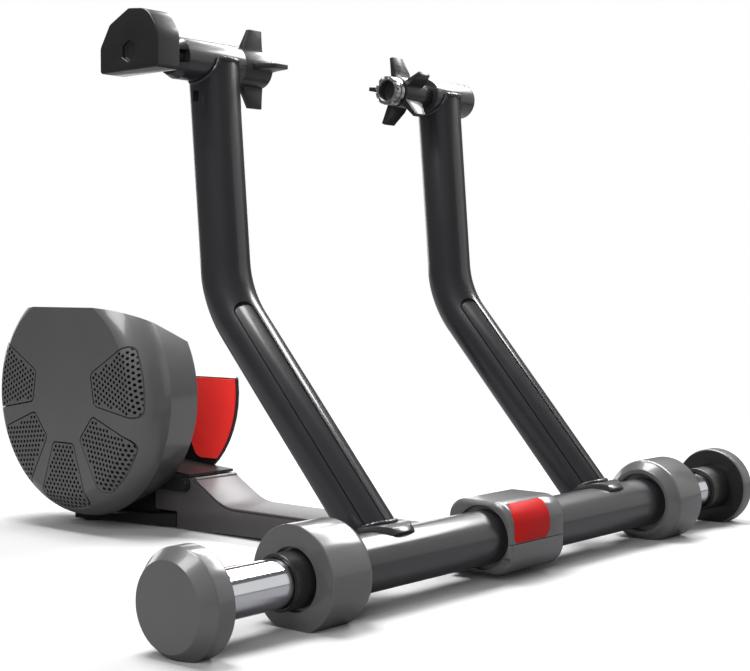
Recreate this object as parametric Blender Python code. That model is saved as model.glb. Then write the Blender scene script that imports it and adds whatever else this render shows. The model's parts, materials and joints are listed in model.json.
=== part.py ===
"""A folding bike trainer: a frame that clamps the rear axle of a bicycle, on telescopic feet,
and a rear arm that carries a tilting resistance unit with its roller.

Every shape is worked out in one frame: +X along the base tube to the right, +Y backwards to
the resistance unit, +Z up, from the centre of the base tube. The empty named trainer then
lifts that frame off the floor and centres it.
"""

import math

import bmesh
import bpy
from mathutils import Matrix, Vector

MM = 0.001

# Clearances
SEAT_GAP = 0.3 * MM
SLIDE_GAP = 0.3 * MM
RUNNING_GAP = 0.3 * MM

# Base tube and telescopic extensions
BASE_TUBE_RADIUS = 20 * MM
BASE_TUBE_WALL = 2 * MM
BASE_TUBE_HALF_LENGTH = 226 * MM
CHROME_RADIUS = 16 * MM
CHROME_WALL = 2 * MM
GUIDE_LENGTH = 60 * MM
TUBE_GUIDE_LENGTH = 6 * MM
TUBE_GUIDE_SPIGOT = 10 * MM
TUBE_GUIDE_WALL = 2 * MM

# End collars
COLLAR_RADIUS = 35.2 * MM
COLLAR_OVERLAP = 33.5 * MM
COLLAR_PROUD = 11 * MM
COLLAR_INNER_FACE = BASE_TUBE_HALF_LENGTH - COLLAR_OVERLAP
COLLAR_OUTER_FACE = BASE_TUBE_HALF_LENGTH + COLLAR_PROUD
COLLAR_FLOOR = 32 * MM
COLLAR_ROUNDING = 8 * MM
COLLAR_RECESS_RADIUS = 24.5 * MM
COLLAR_RECESS_DEPTH = 8 * MM
SLEEVE_RADIUS = 18.5 * MM
SLEEVE_SHOWN = 14.5 * MM
GUIDE_RING_PROUD = 1.5 * MM

# Feet
FOOT_RADIUS = 34.4 * MM
FOOT_REACH = 105 * MM
FOOT_OUTER_FACE = COLLAR_OUTER_FACE + FOOT_REACH
FOOT_LENGTH = 23 * MM
FOOT_CHAMFER = 9 * MM
FOOT_FACE_RADIUS = 27.4 * MM
FOOT_EDGE = 2 * MM
FOOT_FACE_WALL = 6 * MM
NECK_RADIUS = 19.4 * MM
NECK_LENGTH = 28 * MM

# Uprights and saddles
UPRIGHT_OFFSET = 137.5 * MM
UPRIGHT_RADIUS = 19 * MM
UPRIGHT_BORE_RADIUS = 15.5 * MM
UPRIGHT_BEND_Y = 161 * MM
UPRIGHT_BEND_Z = 176 * MM
UPRIGHT_BEND_RADIUS = 80 * MM
UPRIGHT_TOP_PLUG = 34 * MM
CLAMP_AXIS_Y = 175 * MM
CLAMP_AXIS_Z = 351.5 * MM
GROOVE_WIDTH = 15 * MM
GROOVE_DEPTH = 2.5 * MM
GROOVE_START = 48 * MM
SADDLE_THICKNESS = 3 * MM
SADDLE_LENGTH = 50 * MM
SADDLE_HALF_ANGLE = math.radians(62)
WINDOW_DROP = 26 * MM
WINDOW_SHIFT = -0.8 * MM
WINDOW_WIDTH = 6.4 * MM
WINDOW_HEIGHT = 8 * MM
WINDOW_DEPTH = 7 * MM

# Axle clamps
CUP_FACE_RIGHT = 65 * MM
CUP_FACE_LEFT = 88 * MM
CUP_RADIUS = 12.3 * MM
CUP_BORE_RADIUS = 8.4 * MM
CUP_BORE_DEPTH = 8 * MM
CUP_LENGTH = 11 * MM
CUP_CROWN = 5 * MM
CUP_GROOVE_WIDTH = 1.2 * MM
CUP_GROOVE_DEPTH = 1.2 * MM
CUP_NOTCHES = 10
CUP_NOTCH_WIDTH = 2.4 * MM
CUP_NOTCH_DEPTH = 2 * MM
CLAMP_TUBE_RADIUS = 15.3 * MM
CLAMP_TUBE_INNER_END = 117 * MM
CLAMP_TUBE_OUTER_END = 172 * MM
CLAMP_TUBE_CHAMFER = 1.2 * MM
CLAMP_TUBE_LEFT_END = 181 * MM
CLAMP_TUBE_CONE_LENGTH = 6 * MM
CLAMP_TUBE_CONE_RISE = 2.6 * MM
CLAMP_TUBE_CLOSED_WALL = 5 * MM
SPINDLE_RADIUS = 6 * MM
SPINDLE_INNER_END = 150 * MM
ROD_HEAD_RADIUS = 8.5 * MM
STAR_FIN_STATIONS = (
    (8 * MM, 20.5 * MM, 2.7 * MM),
    (17 * MM, 20 * MM, 2.4 * MM),
    (30 * MM, 13.3 * MM, 1.6 * MM),
)
STAR_HUB_RADIUS = 14.3 * MM
STAR_FINS_LEFT = 4
STAR_FINS_RIGHT = 5
STAR_TURN_RIGHT = math.radians(-9)
STAR_NECK_RADIUS = 10 * MM
STAR_NECK_LENGTH = 12.5 * MM
SLOT_HEIGHT = 9.3 * MM
SLOT_LENGTH = 6.5 * MM

# D-shaped lever on the left clamp
LEVER_INNER_FACE = 199 * MM
LEVER_THICKNESS = 21 * MM
LEVER_HALF_WIDTH = 31 * MM
LEVER_TOP = 30 * MM
LEVER_BOTTOM = 14 * MM
LEVER_HEX_RADIUS = 8 * MM
LEVER_HEX_DEPTH = 3.5 * MM
LEVER_SOCKET_DEPTH = 6 * MM

# Folding hinge shell round the base tube
SHELL_HALF_LENGTH = 35.5 * MM
SHELL_HALF_SIZE = 27 * MM
SHELL_CORNER = 13 * MM
SHELL_END_CHAMFER = 4 * MM
SHELL_BACK = 31 * MM
SHELL_SEAM_Z = -3 * MM
SHELL_SEAM = 0.6 * MM
SHELL_RECESS_RADIUS = 24 * MM
SHELL_RECESS_DEPTH = 6 * MM
INLAY_WIDTH = 33 * MM
INLAY_HEIGHT = 22 * MM
INLAY_THICKNESS = 2 * MM
SHELL_PORT_SIZE = 3.5 * MM
SHELL_PORT_X = -28.2 * MM
SHELL_PORT_Z = -15.2 * MM
SHELL_PORT_DEPTH = 7 * MM

# Rear arm
ARM_HALF_WIDTH = 25 * MM
ARM_WALL = 3 * MM
ARM_TOP = -6.8 * MM
ARM_BOTTOM_FRONT = -24.5 * MM
ARM_BOTTOM_REAR = -31.3 * MM
ARM_REAR = 342.5 * MM
ARM_LUG_REAR = 371 * MM
ARM_LUG_BOTTOM = -16.5 * MM
ARM_LUG_TOP = 12 * MM
ARM_RAMP_START = 282 * MM
ARM_RIM_Y = 318.5 * MM
ARM_RIM_Z = 14.5 * MM
ARM_WEB_TOP = -13 * MM
ARM_WEB_END = 300 * MM
COVER_THICKNESS = 2 * MM
COVER_LIP_RADIUS = 2.2 * MM
REAR_FOOT_FRONT_HALF_WIDTH = ARM_HALF_WIDTH + 2 * MM
REAR_FOOT_REAR_HALF_WIDTH = ARM_HALF_WIDTH + 27 * MM
REAR_FOOT_END = 456 * MM
REAR_FOOT_CORNER = 4 * MM
REAR_FOOT_FRONT_TOP = -18.6 * MM
REAR_FOOT_REAR_TOP = -26 * MM
REAR_FOOT_BOTTOM = -30 * MM
PAD_RADIUS = 9 * MM
PAD_INSET = 14 * MM
PAD_RECESS = 1 * MM

# Pivot of the resistance unit
PIVOT_Y = 331 * MM
PIVOT_Z = 9 * MM
PIVOT_PIN_RADIUS = 4 * MM
PIVOT_HEAD_RADIUS = 5.5 * MM
PIVOT_HEAD_LENGTH = 1.5 * MM
PIVOT_BOSS_RADIUS = 6 * MM
SPRING_WIRE_RADIUS = 0.9 * MM
SPRING_TURNS = 5
SPRING_PITCH = 4 * MM
SPRING_FRONT_REACH = 30 * MM
SPRING_REAR_REACH = 27 * MM

# Flanges of the unit's bracket, on both sides of the arm
FLANGE_WALL = 3 * MM
FLANGE_PLAY = 0.7 * MM
FLANGE_LEFT_X = -ARM_HALF_WIDTH - FLANGE_PLAY
FLANGE_RIGHT_X = ARM_HALF_WIDTH + SEAT_GAP

# Resistance unit
ROLLER_AXIS_Y = 407.3 * MM
ROLLER_AXIS_Z = 87.7 * MM
DRUM_DEPTH = 71 * MM
DRUM_INNER_X = FLANGE_LEFT_X - FLANGE_WALL - SEAT_GAP
DRUM_FACE_X = DRUM_INNER_X - DRUM_DEPTH
DRUM_FACE_RADIUS = 88 * MM
DRUM_SHOULDER_LENGTH = 30 * MM
DRUM_SHOULDER_RISE = 20 * MM
DRUM_INNER_RADIUS = 96.5 * MM
DRUM_TOP_HEIGHT = 78 * MM
DRUM_TOP_SLOPE = 0.424
DRUM_WALL = 3 * MM
DRUM_STEPS = 40
VENT_COUNT = 5
VENT_PITCH = math.radians(50)
VENT_INNER_RADIUS = 40.5 * MM
VENT_HALF_ANGLE = math.radians(19.6)
VENT_OUTER_RADIUS = 125 * MM
VENT_DEPTH = 8.5 * MM
VENT_CORNER = 5 * MM
VENT_SIDE_CORNER = 9 * MM
VENT_HOLE_RADIUS = 2.8 * MM
VENT_HOLE_PITCH = 12 * MM
VENT_HOLE_TURN = math.radians(13)
VENT_HOLE_MARGIN = 6 * MM
VENT_HOLE_LAST_RADIUS = 95 * MM
DRUM_COVER_THICKNESS = 3 * MM

# Bracket, side panel and right cover
FLANGE_LEFT_RADIUS = 40 * MM
FLANGE_RIGHT_RADIUS = 89.5 * MM
SIDE_TOP_HEIGHT = 13 * MM
WEB_WALL = 2.4 * MM
WEB_FRONT = (PIVOT_Y - 7 * MM, 18.4 * MM)
WEB_MIDDLE = (ROLLER_AXIS_Y - 22.3 * MM, 22 * MM)
WEB_REAR = (ROLLER_AXIS_Y + 32.7 * MM, 44 * MM)
WEB_BEND_RADIUS = 40 * MM
LUG_RADIUS = 6.5 * MM
LUG_REACH = ROLLER_AXIS_Y - PIVOT_Y - 27.3 * MM
PANEL_THICKNESS = 2 * MM
PANEL_INSET = 0.8 * MM
PANEL_BOTTOM = -61.5 * MM
PANEL_FRONT_CORNER = 14 * MM
PANEL_REAR_CORNER = 11 * MM
COVER_INNER_RADIUS = 85 * MM
COVER_OUTER_RADIUS = 62 * MM
COVER_DEPTH = 26 * MM
COVER_EDGE = 6 * MM
COVER_WALL = 2.5 * MM

# Roller train
SHAFT_RADIUS = 6 * MM
SHAFT_LEFT = DRUM_FACE_X + 8 * MM
SHAFT_RIGHT = FLANGE_RIGHT_X + 19.7 * MM
ROLLER_RADIUS = 17 * MM
ROLLER_LEFT = -ARM_HALF_WIDTH + 4 * MM
ROLLER_RIGHT = ARM_HALF_WIDTH - 8 * MM
BEARING_RADIUS = 9.5 * MM
BEARING_LENGTH = 8 * MM
TRAIN_GAP = 3 * MM
FLYWHEEL_LEFT = DRUM_FACE_X + 21 * MM
FLYWHEEL_LENGTH = 16 * MM
FLYWHEEL_RIM = 14 * MM
FLYWHEEL_WEB = 8 * MM
FLYWHEEL_HUB_RADIUS = 14 * MM
FAN_GAP = 2.5 * MM
FAN_DISC = 2.5 * MM
FAN_BLADE_LENGTH = 10 * MM
FAN_BLADES = 7
BRAKE_RING_WIDTH = 17 * MM
BRAKE_RING_THICKNESS = 4 * MM
BRAKE_GAP = 1.2 * MM
BRAKE_COILS = 6
BRAKE_COIL_RADIUS = 7 * MM
BOARD_SIZE = (30 * MM, 20 * MM)
BOARD_THICKNESS = 2 * MM
BOARD_GAP = 6 * MM

# Working values of the cuts
CUTTER = 400 * MM
MERGE_DISTANCE = 0.004 * MM
FLAT_ANGLE = math.radians(0.05)

ROLLER_AXIS = (ROLLER_AXIS_Y, ROLLER_AXIS_Z)
PIVOT_AXIS = (PIVOT_Y, PIVOT_Z)
CLAMP_AXIS = (CLAMP_AXIS_Y, CLAMP_AXIS_Z)
BASE_AXIS = (0.0, 0.0)

# Planes that an outline is drawn in: u and v lie in it, w is the way it is extruded
SIDE_PLANE = Matrix(((0, 0, 1, 0), (1, 0, 0, 0), (0, 1, 0, 0), (0, 0, 0, 1)))
FRONT_PLANE = Matrix(((1, 0, 0, 0), (0, 0, -1, 0), (0, 1, 0, 0), (0, 0, 0, 1)))
PLAN_PLANE = Matrix.Identity(4)


def clear_scene():
    for obj in list(bpy.data.objects):
        bpy.data.objects.remove(obj, do_unlink=True)


def make_material(name, colour, roughness, metallic=0.0):
    material = bpy.data.materials.new(name)
    material.use_nodes = True
    shader = material.node_tree.nodes["Principled BSDF"]
    shader.inputs["Base Color"].default_value = (*colour, 1.0)
    shader.inputs["Roughness"].default_value = roughness
    shader.inputs["Metallic"].default_value = metallic
    return material


def make_object(name, bm, material):
    """An object from a closed bmesh, with its faces pointing out."""
    bmesh.ops.remove_doubles(bm, verts=bm.verts, dist=1e-7)
    bmesh.ops.recalc_face_normals(bm, faces=bm.faces)
    mesh = bpy.data.meshes.new(name)
    bm.to_mesh(mesh)
    bm.free()
    mesh.materials.append(material)
    obj = bpy.data.objects.new(name, mesh)
    bpy.context.scene.collection.objects.link(obj)
    return obj


def turned(name, material, profile, steps=32, centre=BASE_AXIS):
    """A profile of (x, radius) points turned about the line along X through centre."""
    bm = bmesh.new()
    rings = []
    for x, radius in profile:
        if radius == 0:
            rings.append([bm.verts.new((x, *centre))])
        else:
            ring = circle(radius, steps, centre, math.pi / 2)
            rings.append([bm.verts.new((x, y, z)) for y, z in ring])
    pairs = list(zip(rings, rings[1:]))
    if len(rings[0]) > 1:
        pairs.append((rings[-1], rings[0]))
    for ring, following in pairs:
        for k in range(steps):
            j = (k + 1) % steps
            corners = [ring[k % len(ring)], ring[j % len(ring)]]
            corners += [following[j % len(following)], following[k % len(following)]]
            bm.faces.new(list(dict.fromkeys(corners)))
    return make_object(name, bm, material)


def ring_profile(start, end, inner, outer):
    return [(start, inner), (start, outer), (end, outer), (end, inner)]


def rod_profile(start, end, radius):
    return [(start, 0), (start, radius), (end, radius), (end, 0)]


def prism(name, material, outline, low, high, plane=SIDE_PLANE):
    """A closed outline of (u, v) points in a plane, extruded from low to high."""
    bm = bmesh.new()
    face = bm.faces.new([bm.verts.new(plane @ Vector((u, v, low))) for u, v in outline])
    moved = bmesh.ops.extrude_face_region(bm, geom=[face])["geom"]
    shift = plane.to_3x3() @ Vector((0, 0, high - low))
    bmesh.ops.translate(bm, verts=[v for v in moved if isinstance(v, bmesh.types.BMVert)], vec=shift)
    return make_object(name, bm, material)


def lofted(name, material, sections, plane=SIDE_PLANE):
    """Sections of (outline, w), all with as many points, joined in order and capped."""
    bm = bmesh.new()
    rings = [[bm.verts.new(plane @ Vector((u, v, w))) for u, v in outline] for outline, w in sections]
    for ring, following in zip(rings, rings[1:]):
        for i, corner in enumerate(ring):
            j = (i + 1) % len(ring)
            bm.faces.new((corner, ring[j], following[j], following[i]))
    bm.faces.new(rings[0])
    bm.faces.new(rings[-1])
    return make_object(name, bm, material)


def swept(name, material, path, radius, x, sides=24):
    """A round bar along a path of (y, z) points in the plane at x."""
    bm = bmesh.new()
    rings = []
    for i, point in enumerate(path):
        before = path[max(i - 1, 0)]
        after = path[min(i + 1, len(path) - 1)]
        along = (Vector(after) - Vector(before)).normalized()
        across = Vector((-along.y, along.x))
        ring = []
        for k in range(sides):
            angle = math.tau * k / sides
            offset = across * (radius * math.sin(angle))
            ring.append(bm.verts.new((x + radius * math.cos(angle), point[0] + offset.x, point[1] + offset.y)))
        rings.append(ring)
    for ring, following in zip(rings, rings[1:]):
        for k in range(sides):
            j = (k + 1) % sides
            bm.faces.new((ring[k], ring[j], following[j], following[k]))
    bm.faces.new(rings[0])
    bm.faces.new(rings[-1])
    return make_object(name, bm, material)


def rounded(corners, steps=4, closed=True):
    """Points of an outline whose (u, v, radius) corners are filleted."""
    points = []
    last = len(corners) - 1
    for i, (u, v, radius) in enumerate(corners):
        corner = Vector((u, v))
        if radius <= 0 or (not closed and i in (0, last)):
            points.append((u, v))
            continue
        to_before = (Vector(corners[i - 1][:2]) - corner).normalized()
        to_after = (Vector(corners[(i + 1) % len(corners)][:2]) - corner).normalized()
        half = to_before.angle(to_after) / 2
        centre = corner + (to_before + to_after).normalized() * (radius / math.sin(half))
        start = corner + to_before * (radius / math.tan(half)) - centre
        end = corner + to_after * (radius / math.tan(half)) - centre
        turn = start.angle_signed(end)
        for k in range(steps + 1):
            arm = start.copy()
            arm.rotate(Matrix.Rotation(-turn * k / steps, 2))
            points.append((centre.x + arm.x, centre.y + arm.y))
    return points


def circle(radius, steps=24, centre=(0.0, 0.0), phase=0.0):
    angles = [phase + math.tau * k / steps for k in range(steps)]
    return [(centre[0] + radius * math.cos(a), centre[1] + radius * math.sin(a)) for a in angles]


def box_outline(low_u, high_u, low_v, high_v):
    return [(low_u, low_v), (high_u, low_v), (high_u, high_v), (low_u, high_v)]


def combine(target, tool, operation):
    """Joins tool to target, or cuts target with it, and removes the tool."""
    modifier = target.modifiers.new(operation.lower(), "BOOLEAN")
    modifier.operation = operation
    modifier.solver = "EXACT"
    modifier.object = tool
    graph = bpy.context.evaluated_depsgraph_get()
    mesh = bpy.data.meshes.new_from_object(target.evaluated_get(graph))
    target.modifiers.clear()
    material = target.data.materials[0]
    merge_close(mesh)
    target.data = mesh
    mesh.materials.clear()
    mesh.materials.append(material)
    bpy.data.objects.remove(tool, do_unlink=True)
    return target


def merge_close(mesh):
    """Merges the points that a cut leaves on top of each other and its collinear leftovers."""
    bm = bmesh.new()
    bm.from_mesh(mesh)
    bmesh.ops.remove_doubles(bm, verts=bm.verts, dist=MERGE_DISTANCE)
    bmesh.ops.dissolve_degenerate(bm, edges=bm.edges, dist=MERGE_DISTANCE)
    bmesh.ops.dissolve_limit(bm, angle_limit=FLAT_ANGLE, verts=bm.verts, edges=bm.edges)
    bm.to_mesh(mesh)
    bm.free()


def join(target, *tools):
    for tool in tools:
        combine(target, tool, "UNION")
    return target


def cut(target, *tools):
    for tool in tools:
        combine(target, tool, "DIFFERENCE")
    return target


def keep_inside(target, tool):
    return combine(target, tool, "INTERSECT")


def below(material, height):
    """A cutter that takes away everything under a height."""
    return prism("cutter", material, box_outline(-CUTTER, CUTTER, -CUTTER, height), -CUTTER, CUTTER)


# Base tube and what slides in it


def build_base_tube(finish):
    inner = BASE_TUBE_RADIUS - BASE_TUBE_WALL
    profile = ring_profile(-BASE_TUBE_HALF_LENGTH, BASE_TUBE_HALF_LENGTH, inner, BASE_TUBE_RADIUS)
    return turned("base_tube", finish["frame"], profile, 36)


def build_end_collar(name, side, finish):
    """A round collar cut flat on the floor, with a recess round the base tube."""
    tube_bore = BASE_TUBE_RADIUS + SEAT_GAP
    mouth = SLEEVE_RADIUS + SEAT_GAP
    tube_stop = BASE_TUBE_HALF_LENGTH + SEAT_GAP
    recess_end = COLLAR_INNER_FACE + COLLAR_RECESS_DEPTH
    profile = [
        (COLLAR_INNER_FACE, COLLAR_RECESS_RADIUS),
        (COLLAR_INNER_FACE, COLLAR_RADIUS - COLLAR_ROUNDING),
        (COLLAR_INNER_FACE + COLLAR_ROUNDING * 0.3, COLLAR_RADIUS - COLLAR_ROUNDING * 0.3),
        (COLLAR_INNER_FACE + COLLAR_ROUNDING, COLLAR_RADIUS),
        (COLLAR_OUTER_FACE, COLLAR_RADIUS),
        (COLLAR_OUTER_FACE, mouth),
        (tube_stop, mouth),
        (tube_stop, tube_bore),
        (recess_end, tube_bore),
        (recess_end, COLLAR_RECESS_RADIUS),
    ]
    collar = turned(name, finish["plastic"], [(side * x, r) for x, r in profile], 36)
    return cut(collar, below(finish["plastic"], -COLLAR_FLOOR))


def build_sleeves(finish):
    """The seated sleeve of the left collar and the flush guide ring of the right one."""
    bore = CHROME_RADIUS + SLIDE_GAP
    start = BASE_TUBE_HALF_LENGTH + 2 * SEAT_GAP
    left_end = COLLAR_OUTER_FACE + SLEEVE_SHOWN
    right_end = COLLAR_OUTER_FACE + GUIDE_RING_PROUD
    left = turned("lock_sleeve_left", finish["dark_plastic"], ring_profile(-left_end, -start, bore, SLEEVE_RADIUS), 32)
    right = turned("guide_ring_right", finish["dark_plastic"], ring_profile(start, right_end, bore, SLEEVE_RADIUS), 32)
    return [left, right]


def build_guide_bush(name, side, finish):
    """A plastic bush inside the base tube's end that the chrome tube slides through."""
    outer = BASE_TUBE_RADIUS - BASE_TUBE_WALL - SEAT_GAP
    start = BASE_TUBE_HALF_LENGTH - GUIDE_LENGTH
    profile = ring_profile(side * start, side * BASE_TUBE_HALF_LENGTH, CHROME_RADIUS + SLIDE_GAP, outer)
    return turned(name, finish["white_plastic"], profile, 28)


def build_extension(side, finish):
    """The chrome tube, its round foot and the guide on its inner end."""
    word = "left" if side < 0 else "right"
    chrome_inner = CHROME_RADIUS - CHROME_WALL
    foot_bore_end = FOOT_OUTER_FACE - FOOT_FACE_WALL
    foot_start = FOOT_OUTER_FACE - FOOT_LENGTH
    tube_start = BASE_TUBE_HALF_LENGTH - GUIDE_LENGTH
    tube_end = foot_bore_end - SEAT_GAP
    tube = turned(
        f"chrome_tube_{word}", finish["chrome"],
        ring_profile(side * tube_start, side * tube_end, chrome_inner, CHROME_RADIUS), 32,
    )
    socket = CHROME_RADIUS + SEAT_GAP
    profile = [
        (foot_bore_end, 0),
        (foot_bore_end, socket),
        (foot_start, socket),
        (foot_start, FOOT_RADIUS - FOOT_EDGE),
        (foot_start + FOOT_EDGE, FOOT_RADIUS),
        (FOOT_OUTER_FACE - FOOT_CHAMFER, FOOT_RADIUS),
        (FOOT_OUTER_FACE, FOOT_FACE_RADIUS),
        (FOOT_OUTER_FACE, 0),
    ]
    foot = turned(f"foot_{word}", finish["plastic"], [(side * x, r) for x, r in profile], 40)
    cut(foot, below(finish["plastic"], -COLLAR_FLOOR))
    guide_radius = BASE_TUBE_RADIUS - BASE_TUBE_WALL - SLIDE_GAP
    spigot = chrome_inner - SEAT_GAP
    shoulder = tube_start - SEAT_GAP
    profile = [
        (shoulder - TUBE_GUIDE_LENGTH, spigot - TUBE_GUIDE_WALL),
        (shoulder - TUBE_GUIDE_LENGTH, guide_radius),
        (shoulder, guide_radius),
        (shoulder, spigot),
        (shoulder + TUBE_GUIDE_SPIGOT, spigot),
        (shoulder + TUBE_GUIDE_SPIGOT, spigot - TUBE_GUIDE_WALL),
    ]
    guide = turned(f"tube_guide_{word}", finish["white_plastic"], [(side * x, r) for x, r in profile], 28)
    pieces = [tube, foot, guide]
    if side > 0:
        end = foot_start - SEAT_GAP
        neck_profile = ring_profile(end - NECK_LENGTH, end, CHROME_RADIUS + SEAT_GAP, NECK_RADIUS)
        pieces.append(turned("foot_neck_right", finish["dark_plastic"], neck_profile, 32))
    return pieces


# Uprights


def upright_path(start):
    """The centre line of an upright in its own plane, from a distance up its lower leg."""
    leg = Vector((UPRIGHT_BEND_Y, UPRIGHT_BEND_Z)).normalized()
    corners = [
        (leg.x * start, leg.y * start, 0),
        (UPRIGHT_BEND_Y, UPRIGHT_BEND_Z, UPRIGHT_BEND_RADIUS),
        (CLAMP_AXIS_Y, CLAMP_AXIS_Z, 0),
    ]
    return rounded(corners, steps=6, closed=False)


def build_upright(name, side, finish):
    """A bent tube coped onto the saddle and the clamp tube, with a pressed groove.

    The left one has a small square window under the clamp tube.
    """
    material = finish["frame"]
    x = side * UPRIGHT_OFFSET
    start = BASE_TUBE_RADIUS / 2
    path = upright_path(start)
    upright = swept(name, material, path, UPRIGHT_RADIUS, x)
    top = Vector(path[-1])
    down = (Vector(path[-2]) - top).normalized()
    bore_path = path[:-1] + [tuple(top + down * UPRIGHT_TOP_PLUG)]
    bore = swept("cutter", material, bore_path, UPRIGHT_BORE_RADIUS, x, sides=16)
    saddle = BASE_TUBE_RADIUS + SEAT_GAP + SADDLE_THICKNESS + SEAT_GAP
    reach = UPRIGHT_RADIUS * 1.5
    saddle_cut = turned("cutter", material, rod_profile(x - reach, x + reach, saddle), 40)
    clamp_cut = turned(
        "cutter", material, rod_profile(x - reach, x + reach, CLAMP_TUBE_RADIUS + SEAT_GAP), 32, CLAMP_AXIS
    )
    leg_angle = math.atan2(UPRIGHT_BEND_Z, UPRIGHT_BEND_Y)
    leg_length = math.hypot(UPRIGHT_BEND_Y, UPRIGHT_BEND_Z)
    straight = leg_length - UPRIGHT_BEND_RADIUS * math.tan(
        (math.atan2(CLAMP_AXIS_Z - UPRIGHT_BEND_Z, CLAMP_AXIS_Y - UPRIGHT_BEND_Y) - leg_angle) / 2
    )
    groove_half = GROOVE_WIDTH / 2
    groove_outline = rounded(
        [
            (-groove_half, GROOVE_START, groove_half * 0.98),
            (groove_half, GROOVE_START, groove_half * 0.98),
            (groove_half, straight, groove_half * 0.98),
            (-groove_half, straight, groove_half * 0.98),
        ],
        steps=5,
    )
    along = Vector((0, math.cos(leg_angle), math.sin(leg_angle)))
    outward = Vector((0, -math.sin(leg_angle), math.cos(leg_angle)))
    leg_plane = Matrix.Translation((x, 0, 0)) @ Matrix(
        ((1, along.x, outward.x, 0), (0, along.y, outward.y, 0), (0, along.z, outward.z, 0), (0, 0, 0, 1))
    )
    floor = UPRIGHT_RADIUS - GROOVE_DEPTH
    groove = prism("cutter", material, groove_outline, floor, 2 * UPRIGHT_RADIUS, leg_plane)
    cut(upright, bore, saddle_cut, clamp_cut, groove)
    if side < 0:
        y, z = CLAMP_AXIS_Y + WINDOW_SHIFT, CLAMP_AXIS_Z - WINDOW_DROP
        half_y, half_z = WINDOW_WIDTH / 2, WINDOW_HEIGHT / 2
        outline = box_outline(y - half_y, y + half_y, z - half_z, z + half_z)
        outer = x - UPRIGHT_RADIUS
        cut(upright, prism("cutter", material, outline, outer - WINDOW_DEPTH, outer + WINDOW_DEPTH))
    return upright


def build_saddle(name, side, finish):
    """A plate bent round the base tube under an upright."""
    middle = math.atan2(UPRIGHT_BEND_Z, UPRIGHT_BEND_Y)
    inner = BASE_TUBE_RADIUS + SEAT_GAP
    steps = 14
    angles = [middle + SADDLE_HALF_ANGLE * (2 * k / steps - 1) for k in range(steps + 1)]
    outline = [(inner * math.cos(a), inner * math.sin(a)) for a in angles]
    outer = inner + SADDLE_THICKNESS
    outline += [(outer * math.cos(a), outer * math.sin(a)) for a in reversed(angles)]
    x = side * UPRIGHT_OFFSET
    return prism(name, finish["frame"], outline, x - SADDLE_LENGTH / 2, x + SADDLE_LENGTH / 2)


# Axle clamps


def build_clamp_tube_left(finish):
    """The tube of the left clamp, with a conical outer end that is slotted at the front."""
    bore = ROD_HEAD_RADIUS + RUNNING_GAP
    inner, outer = -CLAMP_TUBE_INNER_END, -CLAMP_TUBE_LEFT_END
    profile = [
        (inner, bore),
        (inner, CLAMP_TUBE_RADIUS),
        (outer + CLAMP_TUBE_CONE_LENGTH, CLAMP_TUBE_RADIUS),
        (outer, CLAMP_TUBE_RADIUS - CLAMP_TUBE_CONE_RISE),
        (outer, bore),
    ]
    tube = turned("clamp_tube_left", finish["frame"], profile, 32, CLAMP_AXIS)
    half = SLOT_HEIGHT / 2
    outline = box_outline(
        CLAMP_AXIS_Y - 2 * CLAMP_TUBE_RADIUS, CLAMP_AXIS_Y, CLAMP_AXIS_Z - half, CLAMP_AXIS_Z + half
    )
    return cut(tube, prism("cutter", finish["frame"], outline, outer - 1 * MM, outer + SLOT_LENGTH))


def build_clamp_tube_right(finish):
    bore = SPINDLE_RADIUS + RUNNING_GAP
    bore_end = CLAMP_TUBE_OUTER_END - CLAMP_TUBE_CLOSED_WALL
    profile = [
        (bore_end, 0),
        (bore_end, bore),
        (CLAMP_TUBE_INNER_END, bore),
        (CLAMP_TUBE_INNER_END, CLAMP_TUBE_RADIUS),
        (CLAMP_TUBE_OUTER_END - CLAMP_TUBE_CHAMFER, CLAMP_TUBE_RADIUS),
        (CLAMP_TUBE_OUTER_END, CLAMP_TUBE_RADIUS - CLAMP_TUBE_CHAMFER),
        (CLAMP_TUBE_OUTER_END, 0),
    ]
    return turned("clamp_tube_right", finish["frame"], profile, 32, CLAMP_AXIS)


def cup_face(side):
    return CUP_FACE_LEFT if side < 0 else CUP_FACE_RIGHT


def build_cup(name, side, finish):
    """A toothed ring that grips the end of the wheel's axle, with a groove behind its crown."""
    face = cup_face(side)
    crown = face + CUP_CROWN
    stem = SPINDLE_RADIUS + SEAT_GAP
    profile = [
        (face + CUP_BORE_DEPTH, 0),
        (face + CUP_BORE_DEPTH, CUP_BORE_RADIUS),
        (face, CUP_BORE_RADIUS),
        (face, CUP_RADIUS),
        (crown, CUP_RADIUS),
        (crown, CUP_RADIUS - CUP_GROOVE_DEPTH),
        (crown + CUP_GROOVE_WIDTH, CUP_RADIUS - CUP_GROOVE_DEPTH),
        (crown + CUP_GROOVE_WIDTH, CUP_RADIUS),
        (face + CUP_LENGTH - 1 * MM, CUP_RADIUS),
        (face + CUP_LENGTH, CUP_RADIUS - 1 * MM),
        (face + CUP_LENGTH, 0),
    ]
    cup = turned(name, finish["steel"], [(side * x, r) for x, r in profile], 30, CLAMP_AXIS)
    low, high = sorted((side * (face - 1 * MM), side * (face + CUP_NOTCH_DEPTH)))
    for k in range(CUP_NOTCHES):
        angle = math.tau * k / CUP_NOTCHES
        turn = Matrix.Translation((0, *CLAMP_AXIS)) @ Matrix.Rotation(angle, 4, "X")
        half = CUP_NOTCH_WIDTH / 2
        outline = box_outline((CUP_BORE_RADIUS + stem) / 2 + 3 * MM, CUP_RADIUS * 1.5, -half, half)
        cut(cup, prism("cutter", finish["steel"], outline, low, high, turn @ SIDE_PLANE))
    return cup


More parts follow.
